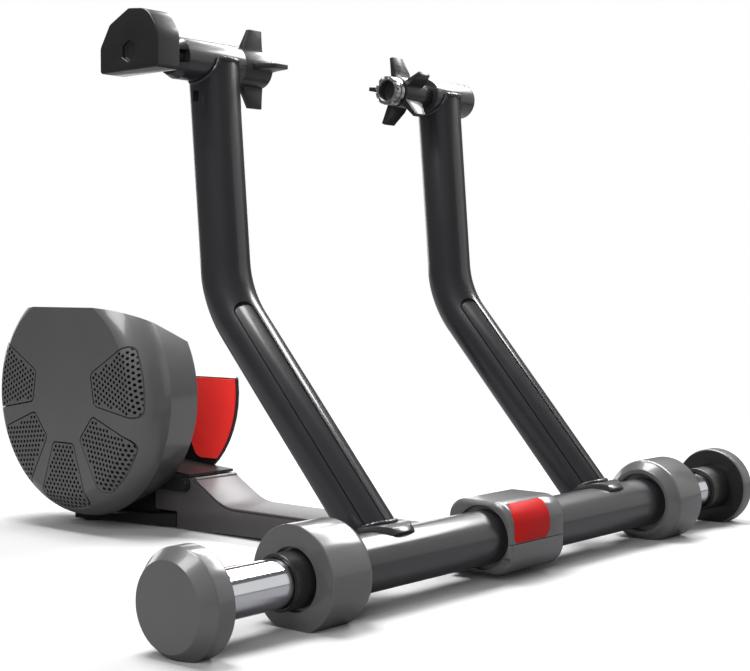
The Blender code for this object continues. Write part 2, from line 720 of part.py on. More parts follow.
def build_star_knob(name, side, finish):
    """A winged hub behind the cup: the left one takes the cup in, the right one has a neck."""
    bore = SPINDLE_RADIUS + RUNNING_GAP
    end = CLAMP_TUBE_INNER_END - SEAT_GAP
    if side < 0:
        start = CUP_FACE_LEFT
        socket = CUP_RADIUS + RUNNING_GAP
        floor = start + CUP_LENGTH + 2 * SEAT_GAP
        profile = [
            (floor, bore), (floor, socket), (start, socket), (start, STAR_HUB_RADIUS),
            (end, STAR_HUB_RADIUS), (end, bore),
        ]
        count, phase = STAR_FINS_LEFT, 0.0
    else:
        start = CUP_FACE_RIGHT + CUP_LENGTH + 1 * MM
        neck = end - STAR_NECK_LENGTH
        profile = [
            (start, bore), (start, STAR_HUB_RADIUS), (neck, STAR_HUB_RADIUS), (neck, STAR_NECK_RADIUS),
            (end, STAR_NECK_RADIUS), (end, bore),
        ]
        count, phase = STAR_FINS_RIGHT, STAR_TURN_RIGHT
    knob = turned(name, finish["dark_plastic"], [(side * x, r) for x, r in profile], 28, CLAMP_AXIS)
    root = socket + SEAT_GAP if side < 0 else STAR_FIN_STATIONS[0][0]
    sections = []
    for radius, length, half in STAR_FIN_STATIONS:
        low, high = sorted((side * start, side * (start + length)))
        sections.append((box_outline(low, high, -half, half), max(radius, root)))
    for k in range(count):
        angle = phase + math.tau * k / count
        turn = Matrix.Translation((0, *CLAMP_AXIS)) @ Matrix.Rotation(angle, 4, "X")
        join(knob, lofted("fin", finish["dark_plastic"], sections, turn @ PLAN_PLANE))
    return knob


def build_spindle_right(finish):
    start = CUP_FACE_RIGHT + CUP_LENGTH + SEAT_GAP
    return turned("spindle_right", finish["steel"], rod_profile(start, SPINDLE_INNER_END, SPINDLE_RADIUS), 24, CLAMP_AXIS)


def build_rod_left(finish):
    """The push rod: thin behind the cup, thick where it shows between tube and lever."""
    start = CUP_FACE_LEFT + CUP_LENGTH + SEAT_GAP
    step = CLAMP_TUBE_INNER_END + 20 * MM
    end = LEVER_INNER_FACE + LEVER_SOCKET_DEPTH - SEAT_GAP
    profile = [
        (start, 0), (start, SPINDLE_RADIUS), (step, SPINDLE_RADIUS),
        (step, ROD_HEAD_RADIUS), (end, ROD_HEAD_RADIUS), (end, 0),
    ]
    return turned("push_rod_left", finish["chrome"], [(-x, r) for x, r in profile], 24, CLAMP_AXIS)


def build_lever_left(finish):
    """A D-shaped turning lever with a slanted shoulder and a hex recess."""
    material = finish["dark_plastic"]
    y, z = CLAMP_AXIS
    half = LEVER_HALF_WIDTH
    outline = rounded(
        [
            (y - half, z - LEVER_BOTTOM, 2.5 * MM),
            (y + half, z - LEVER_BOTTOM, 2.5 * MM),
            (y + half, z + LEVER_TOP * 0.15, 6 * MM),
            (y + half * 0.66, z + LEVER_TOP * 0.68, 6 * MM),
            (y, z + LEVER_TOP, 5 * MM),
            (y - half * 0.66, z + LEVER_TOP * 0.93, 18 * MM),
            (y - half, z + LEVER_TOP * 0.42, 20 * MM),
        ],
        steps=4,
    )
    outer = -LEVER_INNER_FACE - LEVER_THICKNESS
    lever = prism("lock_lever_left", material, outline, outer, -LEVER_INNER_FACE)
    hexagon = circle(LEVER_HEX_RADIUS, 6, CLAMP_AXIS, math.radians(30))
    hex_cut = prism("cutter", material, hexagon, outer - 1 * MM, outer + LEVER_HEX_DEPTH)
    socket = rod_profile(-LEVER_INNER_FACE - LEVER_SOCKET_DEPTH, -LEVER_INNER_FACE + 1 * MM, ROD_HEAD_RADIUS + SEAT_GAP)
    return cut(lever, hex_cut, turned("cutter", material, socket, 24, CLAMP_AXIS))


# Folding hinge shell and rear arm


def shell_outline(inset):
    size = SHELL_HALF_SIZE - inset
    back = SHELL_BACK - inset
    corner = SHELL_CORNER
    return rounded(
        [(-size, -size, corner), (back, -size, corner * 0.5), (back, size, corner), (-size, size, corner)],
        steps=5,
    )


def build_hinge_shells(finish):
    """Two moulded halves that turn on the base tube, with a recess at each end."""
    shells = []
    half = SHELL_HALF_LENGTH
    chamfer = SHELL_END_CHAMFER
    sections = [
        (shell_outline(chamfer), -half),
        (shell_outline(0), -half + chamfer),
        (shell_outline(0), half - chamfer),
        (shell_outline(chamfer), half),
    ]
    bore = BASE_TUBE_RADIUS + RUNNING_GAP
    recess = half - SHELL_RECESS_DEPTH
    seam_top = SHELL_SEAM_Z + SHELL_SEAM / 2
    seam_bottom = SHELL_SEAM_Z - SHELL_SEAM / 2
    bands = {
        "hinge_shell_upper": box_outline(-CUTTER, CUTTER, seam_top, CUTTER),
        "hinge_shell_lower": box_outline(-CUTTER, CUTTER, -CUTTER, seam_bottom),
    }
    for name, band in bands.items():
        material = finish["plastic"]
        shell = lofted(name, material, sections)
        profile = [
            (-half - 1 * MM, 0), (-half - 1 * MM, SHELL_RECESS_RADIUS), (-recess, SHELL_RECESS_RADIUS),
            (-recess, bore), (recess, bore), (recess, SHELL_RECESS_RADIUS),
            (half + 1 * MM, SHELL_RECESS_RADIUS), (half + 1 * MM, 0),
        ]
        cut(shell, turned("cutter", material, profile, 36))
        keep_inside(shell, prism("cutter", material, band, -CUTTER, CUTTER))
        if name == "hinge_shell_upper":
            cut(shell, inlay_solid("cutter", material, SEAT_GAP))
        else:
            reach = SHELL_PORT_SIZE / 2
            port = box_outline(
                SHELL_PORT_X - reach, SHELL_PORT_X + reach, SHELL_PORT_Z - reach, SHELL_PORT_Z + reach
            )
            depth = SHELL_HALF_SIZE - SHELL_PORT_DEPTH
            cut(shell, prism("cutter", material, port, depth, 2 * SHELL_HALF_SIZE, FRONT_PLANE))
        shells.append(shell)
    return shells


def inlay_solid(name, material, grow):
    """The flat inlay in the front of the upper shell, with two cut corners."""
    half = INLAY_WIDTH / 2 + grow
    low = SHELL_SEAM_Z + SHELL_SEAM + 2 * MM - grow
    high = low + INLAY_HEIGHT * 0.75 + 2 * grow
    cut_corner = 5 * MM
    outline = [
        (-half, low), (half - cut_corner, low), (half, low + cut_corner),
        (half, high), (-half + cut_corner, high), (-half, high - cut_corner),
    ]
    depth = SHELL_HALF_SIZE - INLAY_THICKNESS - grow
    front = SHELL_HALF_SIZE + (1 * MM if grow else 0.4 * MM)
    return prism(name, material, outline, depth, front, FRONT_PLANE)


def cover_path():
    """The top line of the arm's cover: level, then up a soft ramp to the rim."""
    front = SHELL_BACK + SEAT_GAP
    corners = [(front, ARM_TOP, 0), (ARM_RAMP_START, ARM_TOP, 48 * MM), (ARM_RIM_Y, ARM_RIM_Z, 0)]
    return rounded(corners, steps=6, closed=False)


def offset_below(path, distance):
    """A path moved square to itself, towards its underside."""
    moved = []
    for i, point in enumerate(path):
        before = path[max(i - 1, 0)]
        after = path[min(i + 1, len(path) - 1)]
        along = (Vector(after) - Vector(before)).normalized()
        moved.append((point[0] + along.y * distance, point[1] - along.x * distance))
    return moved


def cover_lip_centre():
    rim = cover_path()[-2:]
    middle = offset_below(rim, COVER_THICKNESS / 2)[-1]
    return middle


def arm_side_outline():
    """A cheek of the arm: the long beam, the lug with the pivot and the step over the foot."""
    front = SHELL_BACK + SEAT_GAP
    reach = PIVOT_BOSS_RADIUS
    return rounded(
        [
            (front, ARM_BOTTOM_FRONT, 0),
            (ARM_REAR, ARM_BOTTOM_REAR, 0),
            (ARM_REAR, ARM_LUG_BOTTOM, 0),
            (ARM_LUG_REAR, ARM_LUG_BOTTOM, 2 * MM),
            (ARM_LUG_REAR, ARM_LUG_TOP, 4 * MM),
            (PIVOT_Y + reach, PIVOT_Z + reach, 4 * MM),
            (PIVOT_Y - reach, PIVOT_Z + reach, 3 * MM),
            (ARM_RIM_Y - reach, ARM_RIM_Z, 0),
            (ARM_RAMP_START, ARM_TOP + 6 * MM, 0),
            (front, ARM_TOP + 6 * MM, 0),
        ],
        steps=5,
    )


def build_arm_channel(finish):
    """A pressed channel: two cheeks joined by a web."""
    material = finish["arm"]
    inner = ARM_HALF_WIDTH - ARM_WALL
    channel = prism("arm_channel", material, arm_side_outline(), -ARM_HALF_WIDTH, -inner)
    far_cheek = prism("cheek", material, arm_side_outline(), inner, ARM_HALF_WIDTH)
    front = SHELL_BACK + SEAT_GAP
    web_outline = box_outline(front, ARM_WEB_END, ARM_WEB_TOP - ARM_WALL, ARM_WEB_TOP)
    web = prism("web", material, web_outline, -inner - 1 * MM, inner + 1 * MM)
    join(channel, web, far_cheek)
    room = offset_below(cover_path(), COVER_THICKNESS + SEAT_GAP)
    lip_y, lip_z = cover_lip_centre()
    lip_room = COVER_LIP_RADIUS + SEAT_GAP
    room = [(front - 1 * MM, room[0][1])] + room + [(lip_y, CUTTER), (front - 1 * MM, CUTTER)]
    cut(channel, prism("cutter", material, room, -CUTTER, CUTTER))
    room_round_lip = rod_profile(-2 * ARM_HALF_WIDTH, 2 * ARM_HALF_WIDTH, lip_room)
    cut(channel, turned("cutter", material, room_round_lip, 16, (lip_y, lip_z)))
    hole = rod_profile(-2 * ARM_HALF_WIDTH, 2 * ARM_HALF_WIDTH, PIVOT_PIN_RADIUS + SEAT_GAP)
    return cut(channel, turned("cutter", material, hole, 20, PIVOT_AXIS))


def build_arm_cover(finish):
    """The bent plate on top of the arm, ending in a rolled lip under the unit."""
    material = finish["arm"]
    top = cover_path()
    bottom = offset_below(top, COVER_THICKNESS)
    cover = prism("arm_cover", material, top + bottom[::-1], -ARM_HALF_WIDTH, ARM_HALF_WIDTH)
    lip_profile = rod_profile(-ARM_HALF_WIDTH, ARM_HALF_WIDTH, COVER_LIP_RADIUS)
    lip = turned("lip", material, lip_profile, 12, cover_lip_centre())
    return join(cover, lip)


def build_rear_foot(finish):
    """A flared, tapering plate behind the arm."""
    material = finish["dark_plastic"]
    front = ARM_REAR + SEAT_GAP
    plan = rounded(
        [
            (-REAR_FOOT_FRONT_HALF_WIDTH, front, 0),
            (REAR_FOOT_FRONT_HALF_WIDTH, front, 0),
            (REAR_FOOT_REAR_HALF_WIDTH, REAR_FOOT_END, REAR_FOOT_CORNER),
            (-REAR_FOOT_REAR_HALF_WIDTH, REAR_FOOT_END, REAR_FOOT_CORNER),
        ],
        steps=4,
    )
    foot = prism("rear_foot", material, plan, REAR_FOOT_BOTTOM, REAR_FOOT_FRONT_TOP, PLAN_PLANE)
    slope = [
        (front - 1 * MM, REAR_FOOT_FRONT_TOP), (REAR_FOOT_END + 1 * MM, REAR_FOOT_REAR_TOP),
        (REAR_FOOT_END + 1 * MM, REAR_FOOT_FRONT_TOP + 1 * MM), (front - 1 * MM, REAR_FOOT_FRONT_TOP + 1 * MM),
    ]
    cut(foot, prism("cutter", material, slope, -CUTTER, CUTTER))
    pads = []
    for side, word in ((-1, "left"), (1, "right")):
        centre = (side * (REAR_FOOT_REAR_HALF_WIDTH - PAD_INSET), REAR_FOOT_END - PAD_INSET)
        top = REAR_FOOT_BOTTOM + PAD_RECESS
        seat = prism("cutter", material, circle(PAD_RADIUS + SEAT_GAP, 20, centre), -CUTTER, top, PLAN_PLANE)
        cut(foot, seat)
        pad_outline = circle(PAD_RADIUS, 20, centre)
        pads.append(
            prism(f"rear_pad_{word}", finish["rubber"], pad_outline, -COLLAR_FLOOR, top - SEAT_GAP, PLAN_PLANE)
        )
    return [foot] + pads


def build_pivot_pin(finish):
    """A headed pin through the bracket's lugs and the arm's cheeks."""
    grip = FLANGE_RIGHT_X + FLANGE_WALL + 2 * SEAT_GAP
    left_grip = FLANGE_LEFT_X - FLANGE_WALL - 2 * SEAT_GAP
    profile = [
        (left_grip - PIVOT_HEAD_LENGTH, 0),
        (left_grip - PIVOT_HEAD_LENGTH, PIVOT_HEAD_RADIUS),
        (left_grip, PIVOT_HEAD_RADIUS),
        (left_grip, PIVOT_PIN_RADIUS),
        (grip, PIVOT_PIN_RADIUS),
        (grip, PIVOT_HEAD_RADIUS),
        (grip + PIVOT_HEAD_LENGTH, PIVOT_HEAD_RADIUS),
        (grip + PIVOT_HEAD_LENGTH, 0),
    ]
    return turned("pivot_pin", finish["dark_steel"], profile, 20, PIVOT_AXIS)


def tangent_angle(point, radius, side):
    """Where a straight leg from a point (y, z) off the pivot's axis meets its coil, from below."""
    away = math.atan2(point[1], point[0])
    return away + side * math.acos(radius / math.hypot(*point))


def build_torsion_spring(finish):
    """One wire wound round the pivot pin, a leg on the arm's web and one under the bracket's."""
    steps = 10
    coil = (PIVOT_PIN_RADIUS + SEAT_GAP + SPRING_WIRE_RADIUS) / math.cos(math.pi / steps)
    lift = SEAT_GAP + SPRING_WIRE_RADIUS
    front_end = (-SPRING_FRONT_REACH, ARM_WEB_TOP + lift - PIVOT_Z)
    rear_y = PIVOT_Y + SPRING_REAR_REACH
    slope = (WEB_MIDDLE[1] - WEB_FRONT[1]) / (WEB_MIDDLE[0] - WEB_FRONT[0])
    web_top = WEB_FRONT[1] + slope * (rear_y - WEB_FRONT[0])
    rear_end = (SPRING_REAR_REACH, web_top - WEB_WALL - lift - PIVOT_Z)
    start = tangent_angle(front_end, coil, 1)
    end = tangent_angle(rear_end, coil, -1)
    turn = (end - start) % math.tau + math.tau * SPRING_TURNS
    count = SPRING_TURNS * steps
    length = SPRING_TURNS * SPRING_PITCH
    points = [(-length / 2, *front_end)]
    for k in range(count + 1):
        share = k / count
        angle = start + turn * share
        points.append((length * (share - 0.5), coil * math.cos(angle), coil * math.sin(angle)))
    points.append((length / 2, *rear_end))
    curve = bpy.data.curves.new("torsion_spring", "CURVE")
    curve.dimensions = "3D"
    curve.bevel_depth = SPRING_WIRE_RADIUS
    curve.bevel_resolution = 1
    curve.use_fill_caps = True
    spline = curve.splines.new("POLY")
    spline.points.add(len(points) - 1)
    for place, point in zip(points, spline.points):
        point.co = (place[0], PIVOT_Y + place[1], PIVOT_Z + place[2], 1)
    shape = bpy.data.objects.new("spring_guide", curve)
    bpy.context.scene.collection.objects.link(shape)
    graph = bpy.context.evaluated_depsgraph_get()
    mesh = bpy.data.meshes.new_from_object(shape.evaluated_get(graph))
    bpy.data.objects.remove(shape, do_unlink=True)
    bm = bmesh.new()
    bm.from_mesh(mesh)
    return make_object("torsion_spring", bm, finish["steel"])


# Resistance unit


def drum_profile(inset):
    """The drum's turned outline, or the cavity inside its wall."""
    face = DRUM_FACE_X + inset
    points = [(face, 0)]
    steps = 6
    for k in range(steps + 1):
        angle = math.pi / 2 * k / steps
        x = DRUM_FACE_X + DRUM_SHOULDER_LENGTH - (DRUM_SHOULDER_LENGTH - inset) * math.cos(angle)
        radius = DRUM_FACE_RADIUS - inset * 0.5 + (DRUM_SHOULDER_RISE - inset * 0.5) * math.sin(angle)
        points.append((x, radius))
    return points + [(DRUM_INNER_X, DRUM_INNER_RADIUS - inset)]


def drum_top(x, inset):
    """The height of the drum's sloping roof over the roller's axis."""
    return DRUM_TOP_HEIGHT - inset - DRUM_TOP_SLOPE * (x - DRUM_FACE_X)


def roof_cutter(material, inset):
    left, right = DRUM_FACE_X - 30 * MM, DRUM_INNER_X + 30 * MM
    outline = [
        (left, ROLLER_AXIS_Z + drum_top(left, inset)),
        (right, ROLLER_AXIS_Z + drum_top(right, inset)),
        (right, ROLLER_AXIS_Z + CUTTER),
        (left, ROLLER_AXIS_Z + CUTTER),
    ]
    return prism("cutter", material, outline, -ROLLER_AXIS_Y - CUTTER, -ROLLER_AXIS_Y + CUTTER, FRONT_PLANE)


def drum_wall(name, material):
    """The hollow drum, open towards the wheel."""
    outer = turned(name, material, drum_profile(0) + [(DRUM_INNER_X, 0)], DRUM_STEPS, ROLLER_AXIS)
    cut(outer, roof_cutter(material, 0))
    mouth = DRUM_INNER_X + 5 * MM
    cavity_profile = drum_profile(DRUM_WALL) + [(mouth, DRUM_INNER_RADIUS - DRUM_WALL), (mouth, 0)]
    cavity = turned("cavity", material, cavity_profile, DRUM_STEPS, ROLLER_AXIS)
    cut(cavity, roof_cutter(material, DRUM_WALL * 1.1))
    return cut(outer, cavity)


def vent_plane(index):
    """Radial u and tangential v of one vent, in a plane square to the roller's axis."""
    angle = (index - (VENT_COUNT - 1) / 2) * VENT_PITCH
    radial = Vector((0, math.sin(angle), -math.cos(angle)))
    tangent = Vector((0, math.cos(angle), math.sin(angle)))
    return Matrix(
        ((0, 0, 1, 0), (radial.y, tangent.y, 0, ROLLER_AXIS_Y), (radial.z, tangent.z, 0, ROLLER_AXIS_Z), (0, 0, 0, 1))
    )


def vent_half_width(radius):
    return radius * math.tan(VENT_HALF_ANGLE)


def vent_outline(inset, pinch=0.0):
    inner = VENT_INNER_RADIUS + inset
    inner_half = vent_half_width(inner) - inset - pinch
    outer_half = vent_half_width(VENT_OUTER_RADIUS) - inset - pinch
    return rounded(
        [
            (inner, -inner_half, VENT_CORNER),
            (VENT_OUTER_RADIUS, -outer_half, 0),
            (VENT_OUTER_RADIUS, outer_half, 0),
            (inner, inner_half, VENT_CORNER),
        ],
        steps=3,
    )


def vent_window(material, inset, end, plane):
    """The solid of one vent's window, with round corners where it ends on the drum's side."""
    sections = [(vent_outline(inset), DRUM_FACE_X - 5 * MM), (vent_outline(inset), end - VENT_SIDE_CORNER)]
    steps = 3
    for k in range(1, steps + 1):
        angle = math.radians(82) * k / steps
        pinch = VENT_SIDE_CORNER * (1 - math.cos(angle))
        sections.append((vent_outline(inset, pinch), end - VENT_SIDE_CORNER * (1 - math.sin(angle))))
    return lofted("cutter", material, sections, plane)


def build_drum_shell(finish):
    shell = drum_wall("drum_shell", finish["housing"])
    for k in range(VENT_COUNT):
        cut(shell, vent_window(finish["housing"], 0, DRUM_FACE_X + VENT_DEPTH, vent_plane(k)))
    return shell


def vent_holes():
    """Staggered (radius, tangent) places of the holes of one vent."""
    rows = int((VENT_HOLE_LAST_RADIUS - VENT_INNER_RADIUS - VENT_HOLE_MARGIN) / VENT_HOLE_PITCH)
    for row in range(rows + 1):
        radius = VENT_INNER_RADIUS + VENT_HOLE_MARGIN + VENT_HOLE_PITCH * (row + 0.3)
        reach = vent_half_width(radius) - VENT_HOLE_MARGIN
        shift = 0.5 if row % 2 else 0.0
        most = int(reach / VENT_HOLE_PITCH) + 1
        for k in range(-most, most + 1):
            across = (k + shift) * VENT_HOLE_PITCH
            if abs(across) <= reach and radius <= VENT_HOLE_LAST_RADIUS:
                yield radius, across


def build_vent_insert(index, finish):
    """A perforated insert that carries on the drum's surface in its window."""
    name = f"vent_insert_{index + 1}"
    insert = drum_wall(name, finish["vent"])
    plane = vent_plane(index)
    start, end = DRUM_FACE_X - 5 * MM, DRUM_FACE_X + VENT_DEPTH - SEAT_GAP
    keep_inside(insert, vent_window(finish["vent"], SEAT_GAP, end, plane))
    for radius, across in vent_holes():
        outline = circle(VENT_HOLE_RADIUS, 6, (radius, across), VENT_HOLE_TURN)
        cut(insert, prism("cutter", finish["vent"], outline, start, DRUM_FACE_X + VENT_DEPTH + 5 * MM, plane))
    return insert


def build_drum_cover(finish):
    """The plate that closes the drum towards the wheel."""
    material = finish["dark_plastic"]
    start = DRUM_INNER_X - DRUM_COVER_THICKNESS
    radius = DRUM_INNER_RADIUS - DRUM_WALL - SEAT_GAP
    cover = turned(
        "drum_cover", material, ring_profile(start, DRUM_INNER_X, BEARING_RADIUS + SEAT_GAP, radius),
        DRUM_STEPS, ROLLER_AXIS,
    )
    return cut(cover, roof_cutter(material, DRUM_WALL * 1.1 + SEAT_GAP))


def flange_lug(target, material, start, end):
    """Adds the lug on the pivot and its low arm, which keeps under the arm's rim."""
    y, z = PIVOT_AXIS
    low_arm = box_outline(y, y + LUG_REACH, z - LUG_RADIUS, z + LUG_RADIUS)
    join(target, prism("low_arm", material, low_arm, start, end))
    return join(target, prism("lug", material, circle(LUG_RADIUS, 20, PIVOT_AXIS), start, end))


def side_top_cutter(material, inset):
    low = ROLLER_AXIS_Z + SIDE_TOP_HEIGHT - inset
    outline = box_outline(ROLLER_AXIS_Y - CUTTER, ROLLER_AXIS_Y + CUTTER, low, low + CUTTER)
    return prism("cutter", material, outline, 0, CUTTER)


def build_unit_bracket(finish):
    """A U-shaped pressing: a flange at each end of the roller and a web under it."""
    material = finish["dark_steel"]
    right_start, right_end = FLANGE_RIGHT_X, FLANGE_RIGHT_X + FLANGE_WALL
    right = prism("unit_bracket", material, circle(FLANGE_RIGHT_RADIUS, 48, ROLLER_AXIS), right_start, right_end)
    cut(right, side_top_cutter(material, 0))
    flange_lug(right, material, right_start, right_end)
    left_start, left_end = FLANGE_LEFT_X - FLANGE_WALL, FLANGE_LEFT_X
    left = prism("left", material, circle(FLANGE_LEFT_RADIUS, 40, ROLLER_AXIS), left_start, left_end)
    strap = [
        (PIVOT_Y + LUG_REACH * 0.3, PIVOT_Z - LUG_RADIUS), (PIVOT_Y + LUG_REACH, PIVOT_Z - LUG_RADIUS),
        (ROLLER_AXIS_Y + FLANGE_LEFT_RADIUS * 0.6, ROLLER_AXIS_Z), (ROLLER_AXIS_Y - FLANGE_LEFT_RADIUS * 0.6, ROLLER_AXIS_Z),
    ]
    join(left, prism("strap", material, strap, left_start, left_end))
    flange_lug(left, material, left_start, left_end)
    top = rounded([(*WEB_FRONT, 0), (*WEB_MIDDLE, WEB_BEND_RADIUS), (*WEB_REAR, 0)], steps=5, closed=False)
    bottom = [(y, z - WEB_WALL) for y, z in reversed(top)]
    web = prism("web", material, top + bottom, FLANGE_LEFT_X - 1 * MM, FLANGE_RIGHT_X + 1 * MM)
    foot_y, foot_z = WEB_REAR
    strut = [
        (foot_y - 30 * MM, foot_z - 15 * MM), (foot_y + 3 * MM, foot_z - 4 * MM),
        (ROLLER_AXIS_Y + FLANGE_LEFT_RADIUS * 0.6, ROLLER_AXIS_Z), (ROLLER_AXIS_Y - 20 * MM, ROLLER_AXIS_Z),
    ]
    join(left, prism("strut", material, strut, left_start, left_end))
    join(right, web, left)
    bores = BEARING_RADIUS + SEAT_GAP
    reach = 2 * ARM_HALF_WIDTH
    cut(right, turned("cutter", material, rod_profile(-reach, reach, bores), 28, ROLLER_AXIS))
    hole = rod_profile(-reach, reach, PIVOT_PIN_RADIUS + RUNNING_GAP)
    return cut(right, turned("cutter", material, hole, 20, PIVOT_AXIS))


def build_side_panel(finish):
    """The coloured panel on the inner face of the right flange."""
    material = finish["red"]
    end = FLANGE_RIGHT_X - SEAT_GAP
    start = end - PANEL_THICKNESS
    panel = prism("side_panel", material, circle(FLANGE_RIGHT_RADIUS - PANEL_INSET, 48, ROLLER_AXIS), start, end)
    y, z = ROLLER_AXIS
    reach = FLANGE_RIGHT_RADIUS
    low, high = z + PANEL_BOTTOM, z + SIDE_TOP_HEIGHT - 1 * MM
    band = rounded(
        [
            (y - reach * 0.83, low, PANEL_FRONT_CORNER), (y - reach * 0.43, low, PANEL_REAR_CORNER),
            (y - reach * 0.33, z - reach * 0.5, PANEL_REAR_CORNER), (y + reach, z - reach * 0.3, 0),
            (y + reach, high, 0), (y - reach, high, 0), (y - reach, z - reach * 0.3, 0),
        ],
        steps=4,
    )
    keep_inside(panel, prism("cutter", material, band, 0, CUTTER))
    return cut(panel, turned("cutter", material, rod_profile(0, CUTTER, BEARING_RADIUS + SEAT_GAP), 28, ROLLER_AXIS))


def build_right_cover(finish):
    """The tapering cover over the right flange, open towards it."""
    material = finish["housing"]
    start = FLANGE_RIGHT_X + FLANGE_WALL + SEAT_GAP
    end = start + COVER_DEPTH
    wall = COVER_WALL

    def profile(inset, mouth):
        return [
            (mouth, 0),
            (mouth, COVER_INNER_RADIUS - inset),
            (end - COVER_EDGE, COVER_OUTER_RADIUS + COVER_EDGE - inset),
            (end - inset, COVER_OUTER_RADIUS - inset * 0.5),
            (end - inset, 0),
        ]

    cover = turned("right_cover", material, profile(0, start), 40, ROLLER_AXIS)
    cut(cover, side_top_cutter(material, 0))
    cavity = turned("cavity", material, profile(wall, start - 5 * MM), 40, ROLLER_AXIS)
    cut(cavity, side_top_cutter(material, wall))
    return cut(cover, cavity)


def brake_back():
    return DRUM_INNER_X - DRUM_COVER_THICKNESS - SEAT_GAP


def brake_outer_radius():
    return drum_top(brake_back(), DRUM_WALL * 1.1) - TRAIN_GAP / 2


def build_brake(finish):
    """The fixed brake ring with its coils, on the drum's cover, facing the flywheel."""
    material = finish["steel"]
    end = brake_back()
    start = end - BRAKE_RING_THICKNESS
    outer = brake_outer_radius()
    inner = outer - BRAKE_RING_WIDTH
    ring = turned("brake_ring", material, ring_profile(start, end, inner, outer), 32, ROLLER_AXIS)
    middle = (inner + outer) / 2
    coil_end = FLYWHEEL_LEFT + FLYWHEEL_LENGTH + BRAKE_GAP
    for k in range(BRAKE_COILS):
        angle = math.tau * (k + 0.25) / BRAKE_COILS
        centre = (ROLLER_AXIS_Y + middle * math.cos(angle), ROLLER_AXIS_Z + middle * math.sin(angle))
        outline = circle(BRAKE_COIL_RADIUS, 12, centre)
        join(ring, prism("coil", material, outline, coil_end, start + 1 * MM))
    return ring


def build_control_board(finish):
    end = brake_back()
    y, top = ROLLER_AXIS_Y, ROLLER_AXIS_Z - brake_outer_radius() - BOARD_GAP
    width, height = BOARD_SIZE
    outline = box_outline(y - width / 2, y + width / 2, top - height, top)
    return prism("control_board", finish["board"], outline, end - BOARD_THICKNESS, end)


def build_bearing(name, start, finish):
    profile = ring_profile(start, start + BEARING_LENGTH, SHAFT_RADIUS + RUNNING_GAP, BEARING_RADIUS)
    return turned(name, finish["steel"], profile, 28, ROLLER_AXIS)


def bearing_places():
    left = FLANGE_LEFT_X - BEARING_LENGTH + 1 * MM
    right = FLANGE_RIGHT_X - 1 * MM
    return left, right


# Roller train


def build_shaft(finish):
    return turned("roller_shaft", finish["steel"], rod_profile(SHAFT_LEFT, SHAFT_RIGHT, SHAFT_RADIUS), 24, ROLLER_AXIS)


def build_roller(finish):
    edge = 1.5 * MM
    bore = SHAFT_RADIUS + SEAT_GAP
    profile = [
        (ROLLER_LEFT, bore),
        (ROLLER_LEFT, ROLLER_RADIUS - edge),
        (ROLLER_LEFT + edge, ROLLER_RADIUS),
        (ROLLER_RIGHT - edge, ROLLER_RADIUS),
        (ROLLER_RIGHT, ROLLER_RADIUS - edge),
        (ROLLER_RIGHT, bore),
    ]
    return turned("roller", finish["steel"], profile, 32, ROLLER_AXIS)


def build_flywheel(finish):
    """A heavy rim on a hub, flat on the side that faces the brake."""
    start = FLYWHEEL_LEFT
    end = start + FLYWHEEL_LENGTH
    outer = drum_top(end, DRUM_WALL * 1.1) - TRAIN_GAP
    bore = SHAFT_RADIUS + SEAT_GAP
    rim = outer - FLYWHEEL_RIM
    web = end - FLYWHEEL_WEB
    profile = [
        (start, bore), (start, FLYWHEEL_HUB_RADIUS), (web, FLYWHEEL_HUB_RADIUS), (web, rim),
        (start, rim), (start, outer), (end, outer), (end, bore),
    ]
    return turned("flywheel", finish["steel"], profile, 32, ROLLER_AXIS)


def build_fan(finish):
    """A disc on the shaft with straight slanted blades that blow out of the vents."""
    material = finish["dark_plastic"]
    bore = SHAFT_RADIUS + SEAT_GAP
    end = FLYWHEEL_LEFT - FAN_GAP
    disc = end - FAN_DISC
    radius = drum_top(end, DRUM_WALL * 1.1) - TRAIN_GAP
    fan = turned("cooling_fan", material, ring_profile(disc, end, bore, radius), 28, ROLLER_AXIS)
    inner, outer = radius * 0.45, radius * 0.96
    lean = math.radians(28)
    half = 1.2 * MM
    for k in range(FAN_BLADES):
        turn = (
            Matrix.Translation((0, *ROLLER_AXIS)) @ Matrix.Rotation(math.tau * k / FAN_BLADES, 4, "X")
            @ Matrix.Translation((0, inner, 0)) @ Matrix.Rotation(lean, 4, "X")
        )
        outline = box_outline(0, outer - inner, -half, half)
        blade_start, blade_end = disc - FAN_BLADE_LENGTH, disc + 0.5 * FAN_DISC
        join(fan, prism("blade", material, outline, blade_start, blade_end, turn @ SIDE_PLANE))
    return fan


# Assembly


def add_joint(name, parent, parent_pivot, pivot):
    """An empty on a joint's axis; pivot is its place in the frame of the whole object."""
    empty = bpy.data.objects.new(name, None)
    empty.empty_display_size = 30 * MM
    bpy.context.scene.collection.objects.link(empty)
    empty.parent = parent
    empty.location = Vector(pivot) - Vector(parent_pivot)
    return empty


def attach(objects, empty, pivot):
    """Hangs objects on an empty, with their origins on its axis."""
    for obj in objects:
        obj.data.transform(Matrix.Translation(-Vector(pivot)))
        obj.parent = empty
        obj.data.shade_smooth()
        obj.data.set_sharp_from_angle(angle=math.radians(32))


